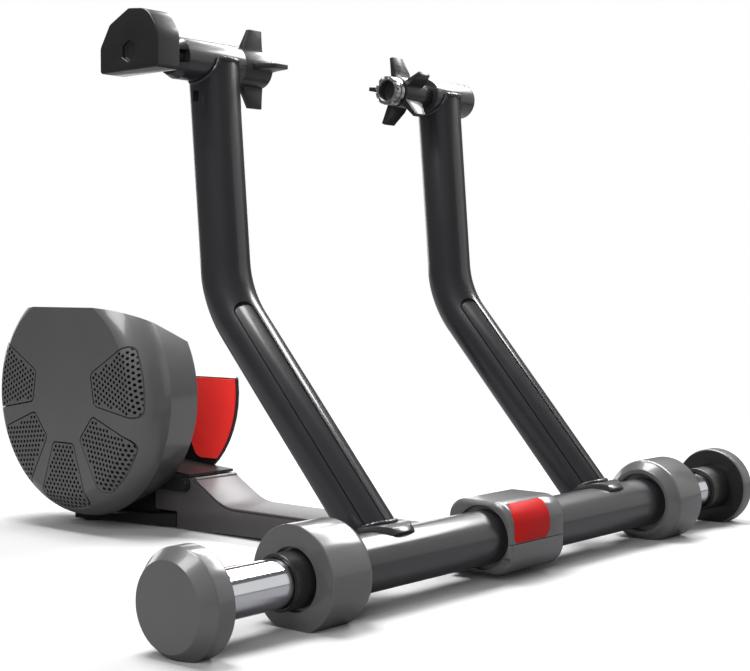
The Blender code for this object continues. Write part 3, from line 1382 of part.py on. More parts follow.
def make_finishes():
    return {
        "frame": make_material("frame_paint", (0.045, 0.042, 0.048), 0.32),
        "plastic": make_material("grey_plastic", (0.13, 0.13, 0.13), 0.42),
        "dark_plastic": make_material("dark_plastic", (0.035, 0.035, 0.037), 0.5),
        "white_plastic": make_material("guide_plastic", (0.7, 0.7, 0.68), 0.45),
        "housing": make_material("housing_plastic", (0.11, 0.11, 0.115), 0.5),
        "vent": make_material("vent_plastic", (0.16, 0.16, 0.16), 0.55),
        "arm": make_material("arm_paint", (0.22, 0.21, 0.21), 0.38, 0.3),
        "red": make_material("red_plastic", (0.52, 0.025, 0.022), 0.4),
        "chrome": make_material("chrome", (0.8, 0.8, 0.82), 0.08, 1.0),
        "steel": make_material("steel", (0.6, 0.6, 0.61), 0.3, 1.0),
        "dark_steel": make_material("dark_steel", (0.05, 0.05, 0.052), 0.45, 0.5),
        "rubber": make_material("rubber", (0.02, 0.02, 0.02), 0.8),
        "board": make_material("board", (0.02, 0.16, 0.07), 0.5),
    }


def main():
    clear_scene()
    finish = make_finishes()
    drum_back = ROLLER_AXIS_Y + DRUM_FACE_RADIUS + DRUM_SHOULDER_RISE
    front = max(COLLAR_RADIUS, FOOT_RADIUS)
    origin = Vector((0, 0, 0))
    trainer = add_joint("trainer", None, origin, (0, (front - drum_back) / 2, COLLAR_FLOOR))

    frame_parts = [build_base_tube(finish)]
    frame_parts += build_sleeves(finish)
    frame_parts += [build_clamp_tube_left(finish), build_clamp_tube_right(finish)]
    for side, word in ((-1, "left"), (1, "right")):
        frame_parts.append(build_end_collar(f"end_collar_{word}", side, finish))
        frame_parts.append(build_guide_bush(f"guide_bush_{word}", side, finish))
        frame_parts.append(build_upright(f"upright_{word}", side, finish))
        frame_parts.append(build_saddle(f"saddle_{word}", side, finish))
        extension = add_joint(f"extension_{word}_slide", trainer, origin, origin)
        attach(build_extension(side, finish), extension, origin)
    attach(frame_parts, trainer, origin)

    clamp = Vector((0, *CLAMP_AXIS))
    rod = add_joint("rod_left_slide", trainer, origin, clamp)
    attach([build_rod_left(finish), build_cup("cup_left", -1, finish)], rod, clamp)
    lever = add_joint("lever_left_turn", rod, clamp, clamp)
    attach([build_lever_left(finish)], lever, clamp)
    star_left = add_joint("star_left_turn", trainer, origin, clamp)
    attach([build_star_knob("star_knob_left", -1, finish)], star_left, clamp)
    spindle = add_joint("spindle_right_slide", trainer, origin, clamp)
    attach([build_spindle_right(finish), build_cup("cup_right", 1, finish)], spindle, clamp)
    star_right = add_joint("star_right_turn", trainer, origin, clamp)
    attach([build_star_knob("star_knob_right", 1, finish)], star_right, clamp)

    arm = add_joint("arm_fold", trainer, origin, origin)
    arm_parts = build_hinge_shells(finish) + build_rear_foot(finish)
    arm_parts += [inlay_solid("front_inlay", finish["red"], 0), build_arm_channel(finish), build_arm_cover(finish)]
    arm_parts.append(build_pivot_pin(finish))
    attach(arm_parts, arm, origin)

    pivot = Vector((0, *PIVOT_AXIS))
    unit = add_joint("unit_tilt", arm, origin, pivot)
    left_bearing, right_bearing = bearing_places()
    unit_parts = [build_drum_shell(finish), build_drum_cover(finish), build_unit_bracket(finish)]
    unit_parts += [build_vent_insert(k, finish) for k in range(VENT_COUNT)]
    unit_parts += [build_side_panel(finish), build_right_cover(finish), build_brake(finish)]
    unit_parts += [build_torsion_spring(finish), build_control_board(finish)]
    unit_parts.append(build_bearing("bearing_left", left_bearing, finish))
    unit_parts.append(build_bearing("bearing_right", right_bearing, finish))
    attach(unit_parts, unit, pivot)

    axis = Vector((0, *ROLLER_AXIS))
    spin = add_joint("roller_spin", unit, pivot, axis)
    attach([build_shaft(finish), build_roller(finish), build_flywheel(finish), build_fan(finish)], spin, axis)


main()
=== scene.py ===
"""The looks of the folding bike trainer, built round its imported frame.

Shapes are written in millimetres from the middle of the base tube: X along the tube to the
right, Y back to the resistance unit, Z up. Each piece rides on the body that carries it.
"""

import json
import math

import bmesh
import bpy
from mathutils import Matrix, Vector


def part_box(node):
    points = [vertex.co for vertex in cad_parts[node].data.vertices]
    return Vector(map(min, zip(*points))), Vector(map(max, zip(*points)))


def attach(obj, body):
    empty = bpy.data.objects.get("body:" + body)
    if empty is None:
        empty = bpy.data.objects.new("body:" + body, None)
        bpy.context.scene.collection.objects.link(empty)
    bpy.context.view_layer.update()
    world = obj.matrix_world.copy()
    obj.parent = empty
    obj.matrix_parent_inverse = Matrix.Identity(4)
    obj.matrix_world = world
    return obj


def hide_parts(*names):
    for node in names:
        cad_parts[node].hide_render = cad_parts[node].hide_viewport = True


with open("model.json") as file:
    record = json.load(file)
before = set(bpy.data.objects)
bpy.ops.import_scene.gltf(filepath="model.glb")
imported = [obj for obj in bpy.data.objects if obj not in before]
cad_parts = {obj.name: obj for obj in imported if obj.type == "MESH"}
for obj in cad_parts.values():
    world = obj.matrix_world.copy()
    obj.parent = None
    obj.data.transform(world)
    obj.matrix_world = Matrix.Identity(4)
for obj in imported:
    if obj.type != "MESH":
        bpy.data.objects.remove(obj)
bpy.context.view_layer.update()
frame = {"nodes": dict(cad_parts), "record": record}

MM = 0.001


def middle(node):
    low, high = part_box(node)
    return (low + high) / 2


BASE = middle("base_tube")


def axis_of(node):
    """The (y, z) of a node's middle, in millimetres from the base tube."""
    place = (middle(node) - BASE) / MM
    return place.y, place.z


BASE_AXIS = (0.0, 0.0)
CLAMP_AXIS = axis_of("clamp_tube_right")
ROLLER_AXIS = axis_of("roller")
PIVOT_AXIS = axis_of("pivot_pin")
ROLLER_Y, ROLLER_Z = ROLLER_AXIS
CLAMP_Y, CLAMP_Z = CLAMP_AXIS
PIVOT_Y, PIVOT_Z = PIVOT_AXIS
FLOOR = -BASE.z / MM

# Beyond anything of the object, for the tools that cut it
FAR = 400

# Planes that an outline is drawn in: u and v lie in it, w is the way it is extruded
SIDE_PLANE = Matrix(((0, 0, 1, 0), (1, 0, 0, 0), (0, 1, 0, 0), (0, 0, 0, 1)))
FRONT_PLANE = Matrix(((1, 0, 0, 0), (0, 0, -1, 0), (0, 1, 0, 0), (0, 0, 0, 1)))
PLAN_PLANE = Matrix.Identity(4)


# Shape tools


def to_object(name, bm):
    """An object at the origin from a bmesh in millimetres round the base tube."""
    bmesh.ops.remove_doubles(bm, verts=bm.verts, dist=1e-5)
    bmesh.ops.recalc_face_normals(bm, faces=bm.faces)
    bm.transform(Matrix.Translation(BASE) @ Matrix.Scale(MM, 4))
    mesh = bpy.data.meshes.new(name)
    bm.to_mesh(mesh)
    bm.free()
    obj = bpy.data.objects.new(name, mesh)
    bpy.context.scene.collection.objects.link(obj)
    return obj


def circle(radius, steps=48, centre=(0.0, 0.0), phase=0.0):
    angles = [phase + math.tau * k / steps for k in range(steps)]
    return [(centre[0] + radius * math.cos(a), centre[1] + radius * math.sin(a)) for a in angles]


def box_outline(low_u, high_u, low_v, high_v):
    return [(low_u, low_v), (high_u, low_v), (high_u, high_v), (low_u, high_v)]


def rounded(corners, steps=6, closed=True):
    """Points of an outline whose (u, v, radius) corners are filleted."""
    points = []
    last = len(corners) - 1
    for i, (u, v, radius) in enumerate(corners):
        corner = Vector((u, v))
        if radius <= 0 or (not closed and i in (0, last)):
            points.append((u, v))
            continue
        to_before = (Vector(corners[i - 1][:2]) - corner).normalized()
        to_after = (Vector(corners[(i + 1) % len(corners)][:2]) - corner).normalized()
        half = to_before.angle(to_after) / 2
        centre = corner + (to_before + to_after).normalized() * (radius / math.sin(half))
        start = corner + to_before * (radius / math.tan(half)) - centre
        end = corner + to_after * (radius / math.tan(half)) - centre
        turn = start.angle_signed(end)
        for k in range(steps + 1):
            arm = start.copy()
            arm.rotate(Matrix.Rotation(-turn * k / steps, 2))
            points.append((centre.x + arm.x, centre.y + arm.y))
    return points


def turned(name, profile, centre=BASE_AXIS, steps=96):
    """A profile of (x, radius) points turned about the line along X through centre."""
    bm = bmesh.new()
    rings = []
    for x, radius in profile:
        if radius == 0:
            rings.append([bm.verts.new((x, *centre))])
        else:
            ring = circle(radius, steps, centre, math.pi / 2)
            rings.append([bm.verts.new((x, y, z)) for y, z in ring])
    pairs = list(zip(rings, rings[1:]))
    if len(rings[0]) > 1:
        pairs.append((rings[-1], rings[0]))
    for ring, following in pairs:
        for k in range(steps):
            j = (k + 1) % steps
            corners = [ring[k % len(ring)], ring[j % len(ring)]]
            corners += [following[j % len(following)], following[k % len(following)]]
            bm.faces.new(list(dict.fromkeys(corners)))
    return to_object(name, bm)


def rod_profile(start, end, radius):
    return [(start, 0), (start, radius), (end, radius), (end, 0)]


def prism(name, outline, low, high, plane=SIDE_PLANE):
    """A closed outline of (u, v) points in a plane, extruded from low to high."""
    return lofted(name, [(outline, low), (outline, high)], plane)


def lofted(name, sections, plane=SIDE_PLANE):
    """Sections of (outline, w), all with as many points, joined in order and capped."""
    bm = bmesh.new()
    rings = [[bm.verts.new(plane @ Vector((u, v, w))) for u, v in outline] for outline, w in sections]
    for ring, following in zip(rings, rings[1:]):
        for i, corner in enumerate(ring):
            j = (i + 1) % len(ring)
            bm.faces.new((corner, ring[j], following[j], following[i]))
    bm.faces.new(rings[0])
    bm.faces.new(rings[-1])
    return to_object(name, bm)


def tube_along(name, points, radius, sides=12, closed=False):
    """A round bar along 3-D points, with one radius or one for each point."""
    bm = bmesh.new()
    count = len(points)
    radii = radius if isinstance(radius, list) else [radius] * count
    rings = []
    across = None
    for i, point in enumerate(points):
        before = points[i - 1] if closed or i else point
        after = points[(i + 1) % count] if closed or i + 1 < count else point
        along = (Vector(after) - Vector(before)).normalized()
        if across is None:
            across = along.orthogonal().normalized()
        across = (across - along * across.dot(along)).normalized()
        other = along.cross(across)
        ring = []
        for k in range(sides):
            angle = math.tau * k / sides
            offset = across * math.cos(angle) + other * math.sin(angle)
            ring.append(bm.verts.new(Vector(point) + offset * radii[i]))
        rings.append(ring)
    pairs = list(zip(rings, rings[1:]))
    if closed:
        pairs.append((rings[-1], rings[0]))
    for ring, following in pairs:
        for k in range(sides):
            j = (k + 1) % sides
            bm.faces.new((ring[k], ring[j], following[j], following[k]))
    if not closed:
        bm.faces.new(rings[0])
        bm.faces.new(rings[-1])
    return to_object(name, bm)


def apply_modifiers(obj):
    graph = bpy.context.evaluated_depsgraph_get()
    mesh = bpy.data.meshes.new_from_object(obj.evaluated_get(graph))
    obj.modifiers.clear()
    obj.data = mesh
    return obj


def combine(target, operation, *tools):
    """Joins tools to target, or cuts or crops it with them, and removes them."""
    for tool in tools:
        modifier = target.modifiers.new(operation.lower(), "BOOLEAN")
        modifier.operation = operation
        modifier.solver = "EXACT"
        modifier.object = tool
        apply_modifiers(target)
        bpy.data.objects.remove(tool, do_unlink=True)
    return target


def join(target, *tools):
    return combine(target, "UNION", *tools)


def cut(target, *tools):
    return combine(target, "DIFFERENCE", *tools)


def crop(target, *tools):
    return combine(target, "INTERSECT", *tools)


def soften(obj, width, segments=3, angle=32):
    """Rounds the edges of an object that turn by more than an angle."""
    bm = bmesh.new()
    bm.from_mesh(obj.data)
    bmesh.ops.remove_doubles(bm, verts=bm.verts, dist=5e-6)
    bmesh.ops.dissolve_limit(bm, angle_limit=math.radians(0.1), verts=bm.verts, edges=bm.edges)
    bm.to_mesh(obj.data)
    bm.free()
    bevel = obj.modifiers.new("soften", "BEVEL")
    bevel.width = width * MM
    bevel.segments = segments
    bevel.limit_method = "ANGLE"
    bevel.angle_limit = math.radians(angle)
    bevel.use_clamp_overlap = True
    bevel.miter_outer = "MITER_ARC"
    return apply_modifiers(obj)


def cutter(outline, low, high, plane=SIDE_PLANE):
    return prism("cutter", outline, low, high, plane)


def floor_cutter():
    return cutter(box_outline(-FAR, FAR, -FAR, FLOOR), -FAR, FAR)


# Materials


CLOUD_SCALE = 45
ROUGHNESS_SPREAD = 0.03
COAT_ROUGHNESS = 0.12
GRAIN_STRENGTH = 0.35


def srgb(*values):
    """A linear colour from 0 to 255 display values."""
    shares = [v / 255 for v in values]
    return tuple(s / 12.92 if s <= 0.04045 else ((s + 0.055) / 1.055) ** 2.4 for s in shares)


def surface(
    name, colour, roughness, metallic=0.0, grain=900.0, depth=0.03, mottle=0.03, coat=0.0, specular=0.5,
    glow=0.0, stretch=(1, 1, 1),
):
    """A procedural finish: a soft mottle in colour and roughness, and a fine grain in the normal.

    depth is the grain's, in millimetres, and stretch draws both patterns out along an axis. glow is an
    emission in the finish's own colour: painted light.
    """
    material = bpy.data.materials.new(name)
    material.use_nodes = True
    nodes, links = material.node_tree.nodes, material.node_tree.links
    shader = nodes["Principled BSDF"]
    shader.inputs["Metallic"].default_value = metallic
    shader.inputs["Coat Weight"].default_value = coat
    shader.inputs["Specular IOR Level"].default_value = specular
    shader.inputs["Coat Roughness"].default_value = COAT_ROUGHNESS
    # glow: painted light, the finish gives off light of its own colour
    shader.inputs["Emission Color"].default_value = (*colour, 1)
    shader.inputs["Emission Strength"].default_value = glow
    place = nodes.new("ShaderNodeTexCoord")
    shape = nodes.new("ShaderNodeMapping")
    shape.inputs["Scale"].default_value = stretch
    links.new(place.outputs["Object"], shape.inputs["Vector"])

    cloud = nodes.new("ShaderNodeTexNoise")
    cloud.inputs["Scale"].default_value = CLOUD_SCALE
    cloud.inputs["Detail"].default_value = 5
    links.new(shape.outputs["Vector"], cloud.inputs["Vector"])
    tint = nodes.new("ShaderNodeValToRGB")
    tint.color_ramp.elements[0].position = 0.3
    tint.color_ramp.elements[1].position = 0.7
    tint.color_ramp.elements[0].color = (*(c * (1 - mottle) for c in colour), 1)
    tint.color_ramp.elements[1].color = (*(min(c * (1 + mottle), 1) for c in colour), 1)
    links.new(cloud.outputs["Fac"], tint.inputs["Fac"])
    links.new(tint.outputs["Color"], shader.inputs["Base Color"])
    gloss = nodes.new("ShaderNodeMapRange")
    gloss.inputs["To Min"].default_value = roughness - ROUGHNESS_SPREAD
    gloss.inputs["To Max"].default_value = roughness + ROUGHNESS_SPREAD
    links.new(cloud.outputs["Fac"], gloss.inputs["Value"])
    links.new(gloss.outputs["Result"], shader.inputs["Roughness"])

    fine = nodes.new("ShaderNodeTexNoise")
    fine.inputs["Scale"].default_value = grain
    fine.inputs["Detail"].default_value = 3
    links.new(shape.outputs["Vector"], fine.inputs["Vector"])
    bump = nodes.new("ShaderNodeBump")
    bump.inputs["Strength"].default_value = GRAIN_STRENGTH
    bump.inputs["Distance"].default_value = depth * MM
    links.new(fine.outputs["Fac"], bump.inputs["Height"])
    links.new(bump.outputs["Normal"], shader.inputs["Normal"])
    return material


# Name: display colour, roughness, and what else differs from a plain finish
FINISH_VALUES = {
    "frame_paint": ((42, 41, 44), 0.34, dict(grain=600, depth=0.012, coat=0.6)),
    "grey_plastic": ((94, 94, 94), 0.34, dict(grain=1400, depth=0.02, coat=0.6)),
    "dark_plastic": ((30, 30, 30), 0.4, dict(grain=1200, coat=0.3)),
    "matt_plastic": ((40, 40, 40), 0.75, dict(grain=1200, depth=0.05, specular=0.15)),
    "guide_plastic": ((214, 213, 208), 0.45, {}),
    "housing_plastic": ((92, 92, 92), 0.34, dict(grain=1300, coat=0.6)),
    "vent_plastic": ((92, 92, 92), 0.42, dict(grain=1300, coat=0.3)),
    "arm_paint": ((100, 96, 97), 0.42, dict(grain=700, depth=0.02, metallic=0.3)),
    # red_plastic is lighter than the part and glows: painted light that brightens the side panel in the
    # drum's shade
    "red_plastic": ((252, 56, 52), 0.5, dict(grain=1500, depth=0.02, mottle=0.02, specular=0.2, glow=0.25)),
    "badge_red": ((196, 30, 28), 0.5, dict(grain=1500, depth=0.02, mottle=0.02, specular=0.1)),
    "chrome": ((226, 227, 231), 0.1, dict(grain=300, depth=0.004, mottle=0.02, metallic=1.0)),
    "steel": ((188, 188, 190), 0.3, dict(grain=500, depth=0.01, metallic=1.0, stretch=(1, 14, 14))),
    "dark_steel": ((52, 52, 54), 0.42, dict(grain=700, depth=0.02, metallic=0.4)),
    "rubber": ((34, 34, 34), 0.8, dict(grain=1600, depth=0.08)),
    "board": ((32, 110, 66), 0.5, dict(grain=800, depth=0.02)),
}
FINISHES = {
    name: surface(name, srgb(*shown), roughness, **more)
    for name, (shown, roughness, more) in FINISH_VALUES.items()
}


def shade(obj, finish, angle=34):
    """Gives an object its finish and smooths the edges that turn by less than an angle."""
    obj.data.materials.clear()
    obj.data.materials.append(FINISHES[finish])
    obj.data.shade_smooth()
    obj.data.set_sharp_from_angle(angle=math.radians(angle))


def dress(obj, finish, body, *nodes, angle=34, slot=None):
    """Finishes a piece, makes it ride on its body and puts it in the place of CAD nodes."""
    shade(obj, finish, angle)
    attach(obj, body)
    if nodes:
        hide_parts(*nodes)
    return obj


def darken_faces(obj, is_dark):
    """Gives the faces that a test picks the dark plastic finish: a dark zone of a part, or painted shade on
    the walls of holes and seams.
    """
    obj.data.materials.append(FINISHES["dark_plastic"])
    for face in obj.data.polygons:
        if is_dark(face):
            face.material_index = 1


def dress_cad_nodes():
    """Every node that stays visible keeps its mesh and takes the better finish of its slot."""
    slots = {part["node"]: part["material_slot"] for part in frame["record"]["subparts"]}
    for name, node in frame["nodes"].items():
        shade(node, slots[name])


# Base tube, collars and feet


SIDES = ((-1, "left"), (1, "right"))

TUBE_RADIUS = 20
TUBE_BORE = 18
TUBE_END = 226
COLLAR_START = 192.5
COLLAR_END = 237
COLLAR_RADIUS = 35.2
COLLAR_MOUTH = 24.5
COLLAR_BORE = 20.3
COLLAR_LIP = 20.7
SLEEVE_SEAT = 18.8
SLEEVE_SPAN = (-251.5, -226.6)
SLEEVE_RADIUS = 18.5
NECK_SPAN = (290.7, 318.7)
NECK_RADIUS = 19.4
CHROME_SPAN = (166, 335.7)
CHROME_RADIUS = 16
CHROME_BORE = 14
CHROME_HOLE = 16.3
FOOT_START = 319
FOOT_FLOOR = 336
FOOT_END = 342
FOOT_RADIUS = 34.4
FOOT_FACE_RADIUS = 27.4


def build_base():
    half = [(-TUBE_END, TUBE_BORE), (-TUBE_END, TUBE_RADIUS)]
    tube = turned("base_tube_skin", half + [(-x, r) for x, r in reversed(half)])
    dress(tube, "frame_paint", "frame", "base_tube")
    for side, word in SIDES:
        collar = turned(f"collar_{word}", collar_profile(side), steps=128)
        cut(collar, floor_cutter())
        soften(collar, 0.5, 2)
        dress(collar, "grey_plastic", "frame", f"end_collar_{word}")
    sleeve = ring_with_soft_edges(*SLEEVE_SPAN, SLEEVE_RADIUS)
    dress(turned("lock_sleeve", sleeve), "dark_plastic", "frame", "lock_sleeve_left")


def ring_with_soft_edges(start, end, outer):
    """A ring round the chrome tube, with its softer edge at the start."""
    corners = [
        (start, CHROME_HOLE, 0.2), (start, outer, 0.8), (end, outer, 0.3), (end, CHROME_HOLE, 0.2),
    ]
    return rounded(corners, steps=4)


def collar_profile(side):
    """A barrel with a sharp outer face, a soft inner shoulder and a groove round the sleeve."""
    corners = [
        (COLLAR_START, COLLAR_MOUTH, 0.6), (COLLAR_START, 28, 1.5), (199.5, COLLAR_RADIUS, 7),
        (COLLAR_END, COLLAR_RADIUS, 0.8), (COLLAR_END, COLLAR_LIP, 0.4), (232, COLLAR_LIP, 0.2),
        (232, SLEEVE_SEAT, 0), (226.3, SLEEVE_SEAT, 0), (226.3, COLLAR_BORE, 0),
        (200.5, COLLAR_BORE, 0), (200.5, COLLAR_MOUTH, 0),
    ]
    return [(side * x, r) for x, r in rounded(corners, steps=6)]


def build_feet():
    start, end = CHROME_SPAN
    for side, word in SIDES:
        body = f"extension_{word}"
        profile = [(start, CHROME_BORE), (start, CHROME_RADIUS), (end, CHROME_RADIUS), (end, CHROME_BORE)]
        chrome = turned(f"chrome_{word}", [(side * x, r) for x, r in profile])
        dress(chrome, "chrome", body, f"chrome_tube_{word}")
        foot = turned(f"round_foot_{word}", foot_profile(side), steps=128)
        cut(foot, floor_cutter())
        soften(foot, 0.5, 2)
        dress(foot, "grey_plastic", body, f"foot_{word}")
        darken_faces(foot, lambda face: face.normal.x * side < -0.9)
    neck = ring_with_soft_edges(*NECK_SPAN, NECK_RADIUS)
    dress(turned("foot_neck", neck), "dark_plastic", "extension_right", "foot_neck_right")


def foot_profile(side):
    """A disc with a chamfered outer rim, closed on the outside and bored on the inside."""
    shell = rounded([
        (FOOT_START, CHROME_HOLE, 0.4), (FOOT_START, FOOT_RADIUS, 1.6), (333, FOOT_RADIUS, 2.2),
        (FOOT_END, FOOT_FACE_RADIUS, 1.0), (FOOT_END, 0, 0),
    ], 5, False)
    points = [(FOOT_FLOOR, 0), (FOOT_FLOOR, CHROME_HOLE)] + shell
    return [(side * x, r) for x, r in points]


# Uprights


UPRIGHT_X = 137.5
UPRIGHT_RADIUS = 19
UPRIGHT_START = 8
LEG_FOOT = (6.5, 0)
BEND = (161, 176)
BEND_RADIUS = 80
LEG = (Vector(BEND) - Vector(LEG_FOOT)).normalized()
LEG_ACROSS = Vector((-LEG.y, LEG.x))
RISE = (Vector(CLAMP_AXIS) - Vector(BEND)).normalized()

# The groove along each leg: a trench round a long island, both measured from the leg's middle
GROOVE_TURN = math.radians(-32.5)
GROOVE_SPAN = (10, 216)
GROOVE_HALF = 7.8
GROOVE_WIDTH = 1.1
GROOVE_FLOOR = 15.6
GROOVE_ISLAND_TOP = 17.4

SADDLE_INNER = 20.3
SADDLE_OUTER = 23.3
SADDLE_HALF = 30
SADDLE_PLAN_RADIUS = 26
SADDLE_ROOM = 23.6
CLAMP_ROOM = 15.6
SADDLE_WELD = 24.2
CLAMP_WELD = 16.2
BEAD_RADIUS = 1.5
BEAD_RIPPLE = 0.2
BEAD_RIPPLES = 46


def build_uprights():
    for side, word in SIDES:
        x = side * UPRIGHT_X
        upright = build_upright(word, x)
        dress(upright, "frame_paint", "frame", f"upright_{word}", angle=40)
        dress(build_saddle(word, x), "frame_paint", "frame", f"saddle_{word}")
        bead = weld_bead(f"saddle_weld_{word}", x, LEG, SADDLE_WELD, BASE_AXIS, LEG_FOOT)
        dress(bead, "frame_paint", "frame")
        bead = weld_bead(f"clamp_weld_{word}", x, -RISE, CLAMP_WELD, CLAMP_AXIS, CLAMP_AXIS)
        dress(bead, "frame_paint", "frame")


def groove_plane(x):
    """Across the leg, along it, and out of it towards the groove."""
    sine, cosine = math.sin(GROOVE_TURN), math.cos(GROOVE_TURN)
    foot_y, foot_z = LEG_FOOT
    return Matrix((
        (cosine, 0, sine, x), (-sine * LEG_ACROSS.x, LEG.x, cosine * LEG_ACROSS.x, foot_y),
        (-sine * LEG_ACROSS.y, LEG.y, cosine * LEG_ACROSS.y, foot_z), (0, 0, 0, 1),
    ))


def build_upright(word, x):
    start = Vector(LEG_FOOT) + LEG * UPRIGHT_START
    path = rounded([(*start, 0), (*BEND, BEND_RADIUS), (*CLAMP_AXIS, 0)], steps=20, closed=False)
    upright = tube_along(f"upright_skin_{word}", [(x, y, z) for y, z in path], UPRIGHT_RADIUS, 72)
    reach = UPRIGHT_RADIUS * 1.5
    cut(upright, turned("cutter", rod_profile(x - reach, x + reach, SADDLE_ROOM), steps=96))
    cut(upright, turned("cutter", rod_profile(x - reach, x + reach, CLAMP_ROOM), CLAMP_AXIS))
    plane = groove_plane(x)
    start, end = GROOVE_SPAN
    trench = cutter(racetrack(GROOVE_HALF, start, end), GROOVE_FLOOR, 2 * UPRIGHT_RADIUS, plane)
    inner = racetrack(GROOVE_HALF - GROOVE_WIDTH, start + GROOVE_WIDTH, end - GROOVE_WIDTH)
    cut(trench, cutter(inner, 0, GROOVE_ISLAND_TOP, plane))
    cut(upright, trench)
    if word == "left":
        notch = box_outline(CLAMP_Y - 4, CLAMP_Y + 2.4, CLAMP_Z - 30, CLAMP_Z - 22)
        cut(upright, cutter(notch, x - 25, x - 12))
    return soften(upright, 0.35, 2, 50)


def racetrack(half, start, end):
    radius = half * 0.995
    corners = [(-half, start, radius), (half, start, radius), (half, end, radius), (-half, end, radius)]
    return rounded(corners, steps=10)


def build_saddle(word, x):
    """The round plate between base tube and upright, bent over the tube."""
    half = [(x - SADDLE_HALF, SADDLE_INNER), (x - SADDLE_HALF, SADDLE_OUTER)]
    other_half = [(x + SADDLE_HALF, SADDLE_OUTER), (x + SADDLE_HALF, SADDLE_INNER)]
    saddle = turned(f"saddle_skin_{word}", half + other_half, steps=120)
    plan = circle(SADDLE_PLAN_RADIUS, 64, (0, 1))
    plane = Matrix((
        (1, 0, 0, x), (0, LEG_ACROSS.x, LEG.x, LEG_FOOT[0]), (0, LEG_ACROSS.y, LEG.y, LEG_FOOT[1]),
        (0, 0, 0, 1),
    ))
    crop(saddle, cutter(plan, 2, 60, plane))
    return soften(saddle, 0.9, 3, 50)


def weld_bead(name, x, along, radius, axis, foot):
    """A rippled bead where an upright's axis, through foot, meets a round tube."""
    points, radii = [], []
    steps = 120
    across = Vector((-along.y, along.x))
    for k in range(steps):
        angle = math.tau * k / steps
        offset = Vector(foot) - Vector(axis) + across * (UPRIGHT_RADIUS * math.sin(angle))
        ahead = offset.dot(along)
        reach = math.sqrt(max(ahead**2 - offset.length_squared + radius**2, 0)) - ahead
        place = Vector(axis) + offset + along * reach
        points.append((x + UPRIGHT_RADIUS * math.cos(angle), place.x, place.y))
        radii.append(BEAD_RADIUS + BEAD_RIPPLE * math.sin(angle * BEAD_RIPPLES))
    return tube_along(name, points, radii, 10, closed=True)


# Axle clamps


CLAMP_START = 117
CLAMP_RADIUS = 15.3
LEFT_CLAMP_END = 181
RIGHT_CLAMP_END = 172
RIGHT_CLAMP_FLOOR = 167
ROD_BORE = 8.8
SPINDLE_BORE = 6.3
SLOT_HALF = 4.65

LEFT_STAR_START = 88
RIGHT_STAR_START = 77
STAR_END = 116.7
# Fin stations: distance from the axis, length along it and half thickness
FIN_TIP_STATIONS = ((17, 20, 2.4), (21, 17.9, 2.1), (30, 13.3, 1.6))
FIN_ROOT_LENGTH = 20.5
FIN_ROOT_HALF = 2.8

LEFT_CUP_FACE = 88
RIGHT_CUP_FACE = 65
CUP_RADIUS = 12.3
CUP_TEETH = 10
CUP_TOOTH_HALF_GAP = 1.3

LEVER_SPAN = (-220, -199)
LEVER_SOCKET_RADIUS = 8


def build_clamps():
    left = turned("clamp_left", rounded([
        (-CLAMP_START, ROD_BORE, 0.3), (-CLAMP_START, CLAMP_RADIUS, 0.8), (-175, CLAMP_RADIUS, 1.0),
        (-LEFT_CLAMP_END, 12.7, 0.4), (-LEFT_CLAMP_END, ROD_BORE, 0.3),
    ], 4), CLAMP_AXIS)
    slot = box_outline(CLAMP_Y - 2 * CLAMP_RADIUS, CLAMP_Y, CLAMP_Z - SLOT_HALF, CLAMP_Z + SLOT_HALF)
    cut(left, cutter(slot, -LEFT_CLAMP_END - 1, -174.5))
    dress(left, "frame_paint", "frame", "clamp_tube_left")
    shell = rounded([
        (CLAMP_START, SPINDLE_BORE, 0), (CLAMP_START, CLAMP_RADIUS, 0.8),
        (RIGHT_CLAMP_END, CLAMP_RADIUS, 1.4), (RIGHT_CLAMP_END, 0, 0),
    ], 5, False)
    bore = [(RIGHT_CLAMP_FLOOR, 0), (RIGHT_CLAMP_FLOOR, SPINDLE_BORE)]
    dress(turned("clamp_right", bore + shell, CLAMP_AXIS), "frame_paint", "frame", "clamp_tube_right")
    for (side, word), rod in zip(SIDES, ("rod_left", "spindle_right")):
        dress(build_star(word, side), "dark_plastic", f"star_{word}", f"star_knob_{word}")
        dress(build_cup(word, side), "steel", rod, f"cup_{word}")
        dress(build_cup_lining(word, side), "dark_steel", rod)
    dress(build_lever(), "dark_plastic", "lever_left", "lock_lever_left")


def round_clamp_axis(turn):
    """The place of a tool turned about the clamps' axis."""
    return Matrix.Translation((0, *CLAMP_AXIS)) @ Matrix.Rotation(turn, 4, "X")


def build_star(word, side):
    """A winged hub: four fins and the cup's socket on the left, five fins and a neck on the right."""
    if side < 0:
        corners = [
            (99.6, SPINDLE_BORE, 0), (99.6, 12.6, 0), (LEFT_STAR_START, 12.6, 0.2),
            (LEFT_STAR_START, 14.3, 0.5), (STAR_END, 14.3, 0.5), (STAR_END, SPINDLE_BORE, 0.2),
        ]
        start, root, count, phase = LEFT_STAR_START, 12.9, 4, 0.0
    else:
        corners = [
            (RIGHT_STAR_START, SPINDLE_BORE, 0.2), (RIGHT_STAR_START, 13.2, 0.8), (104.2, 13.2, 1.0),
            (104.2, 10, 0.6), (STAR_END, 10, 0.3), (STAR_END, SPINDLE_BORE, 0.2),
        ]
        start, root, count, phase = RIGHT_STAR_START, 8, 5, math.radians(-9)
    knob = turned(f"star_{word}", [(side * x, r) for x, r in rounded(corners, 4)], CLAMP_AXIS, 72)
    for k in range(count):
        join(knob, star_fin(side, start, root, round_clamp_axis(phase + math.tau * k / count)))
    return soften(knob, 0.45, 2, 38)


def star_fin(side, start, root, turn):
    """One fin as a stack of rectangles: straight towards the wheel, slanted towards the tube."""
    sections = []
    for radius, length, half in ((root, FIN_ROOT_LENGTH, FIN_ROOT_HALF), *FIN_TIP_STATIONS):
        sections.append((box_outline(side * start, side * (start + length), -half, half), radius))
    return lofted("fin", sections, turn @ PLAN_PLANE)


def cup_face(side):
    return LEFT_CUP_FACE if side < 0 else RIGHT_CUP_FACE


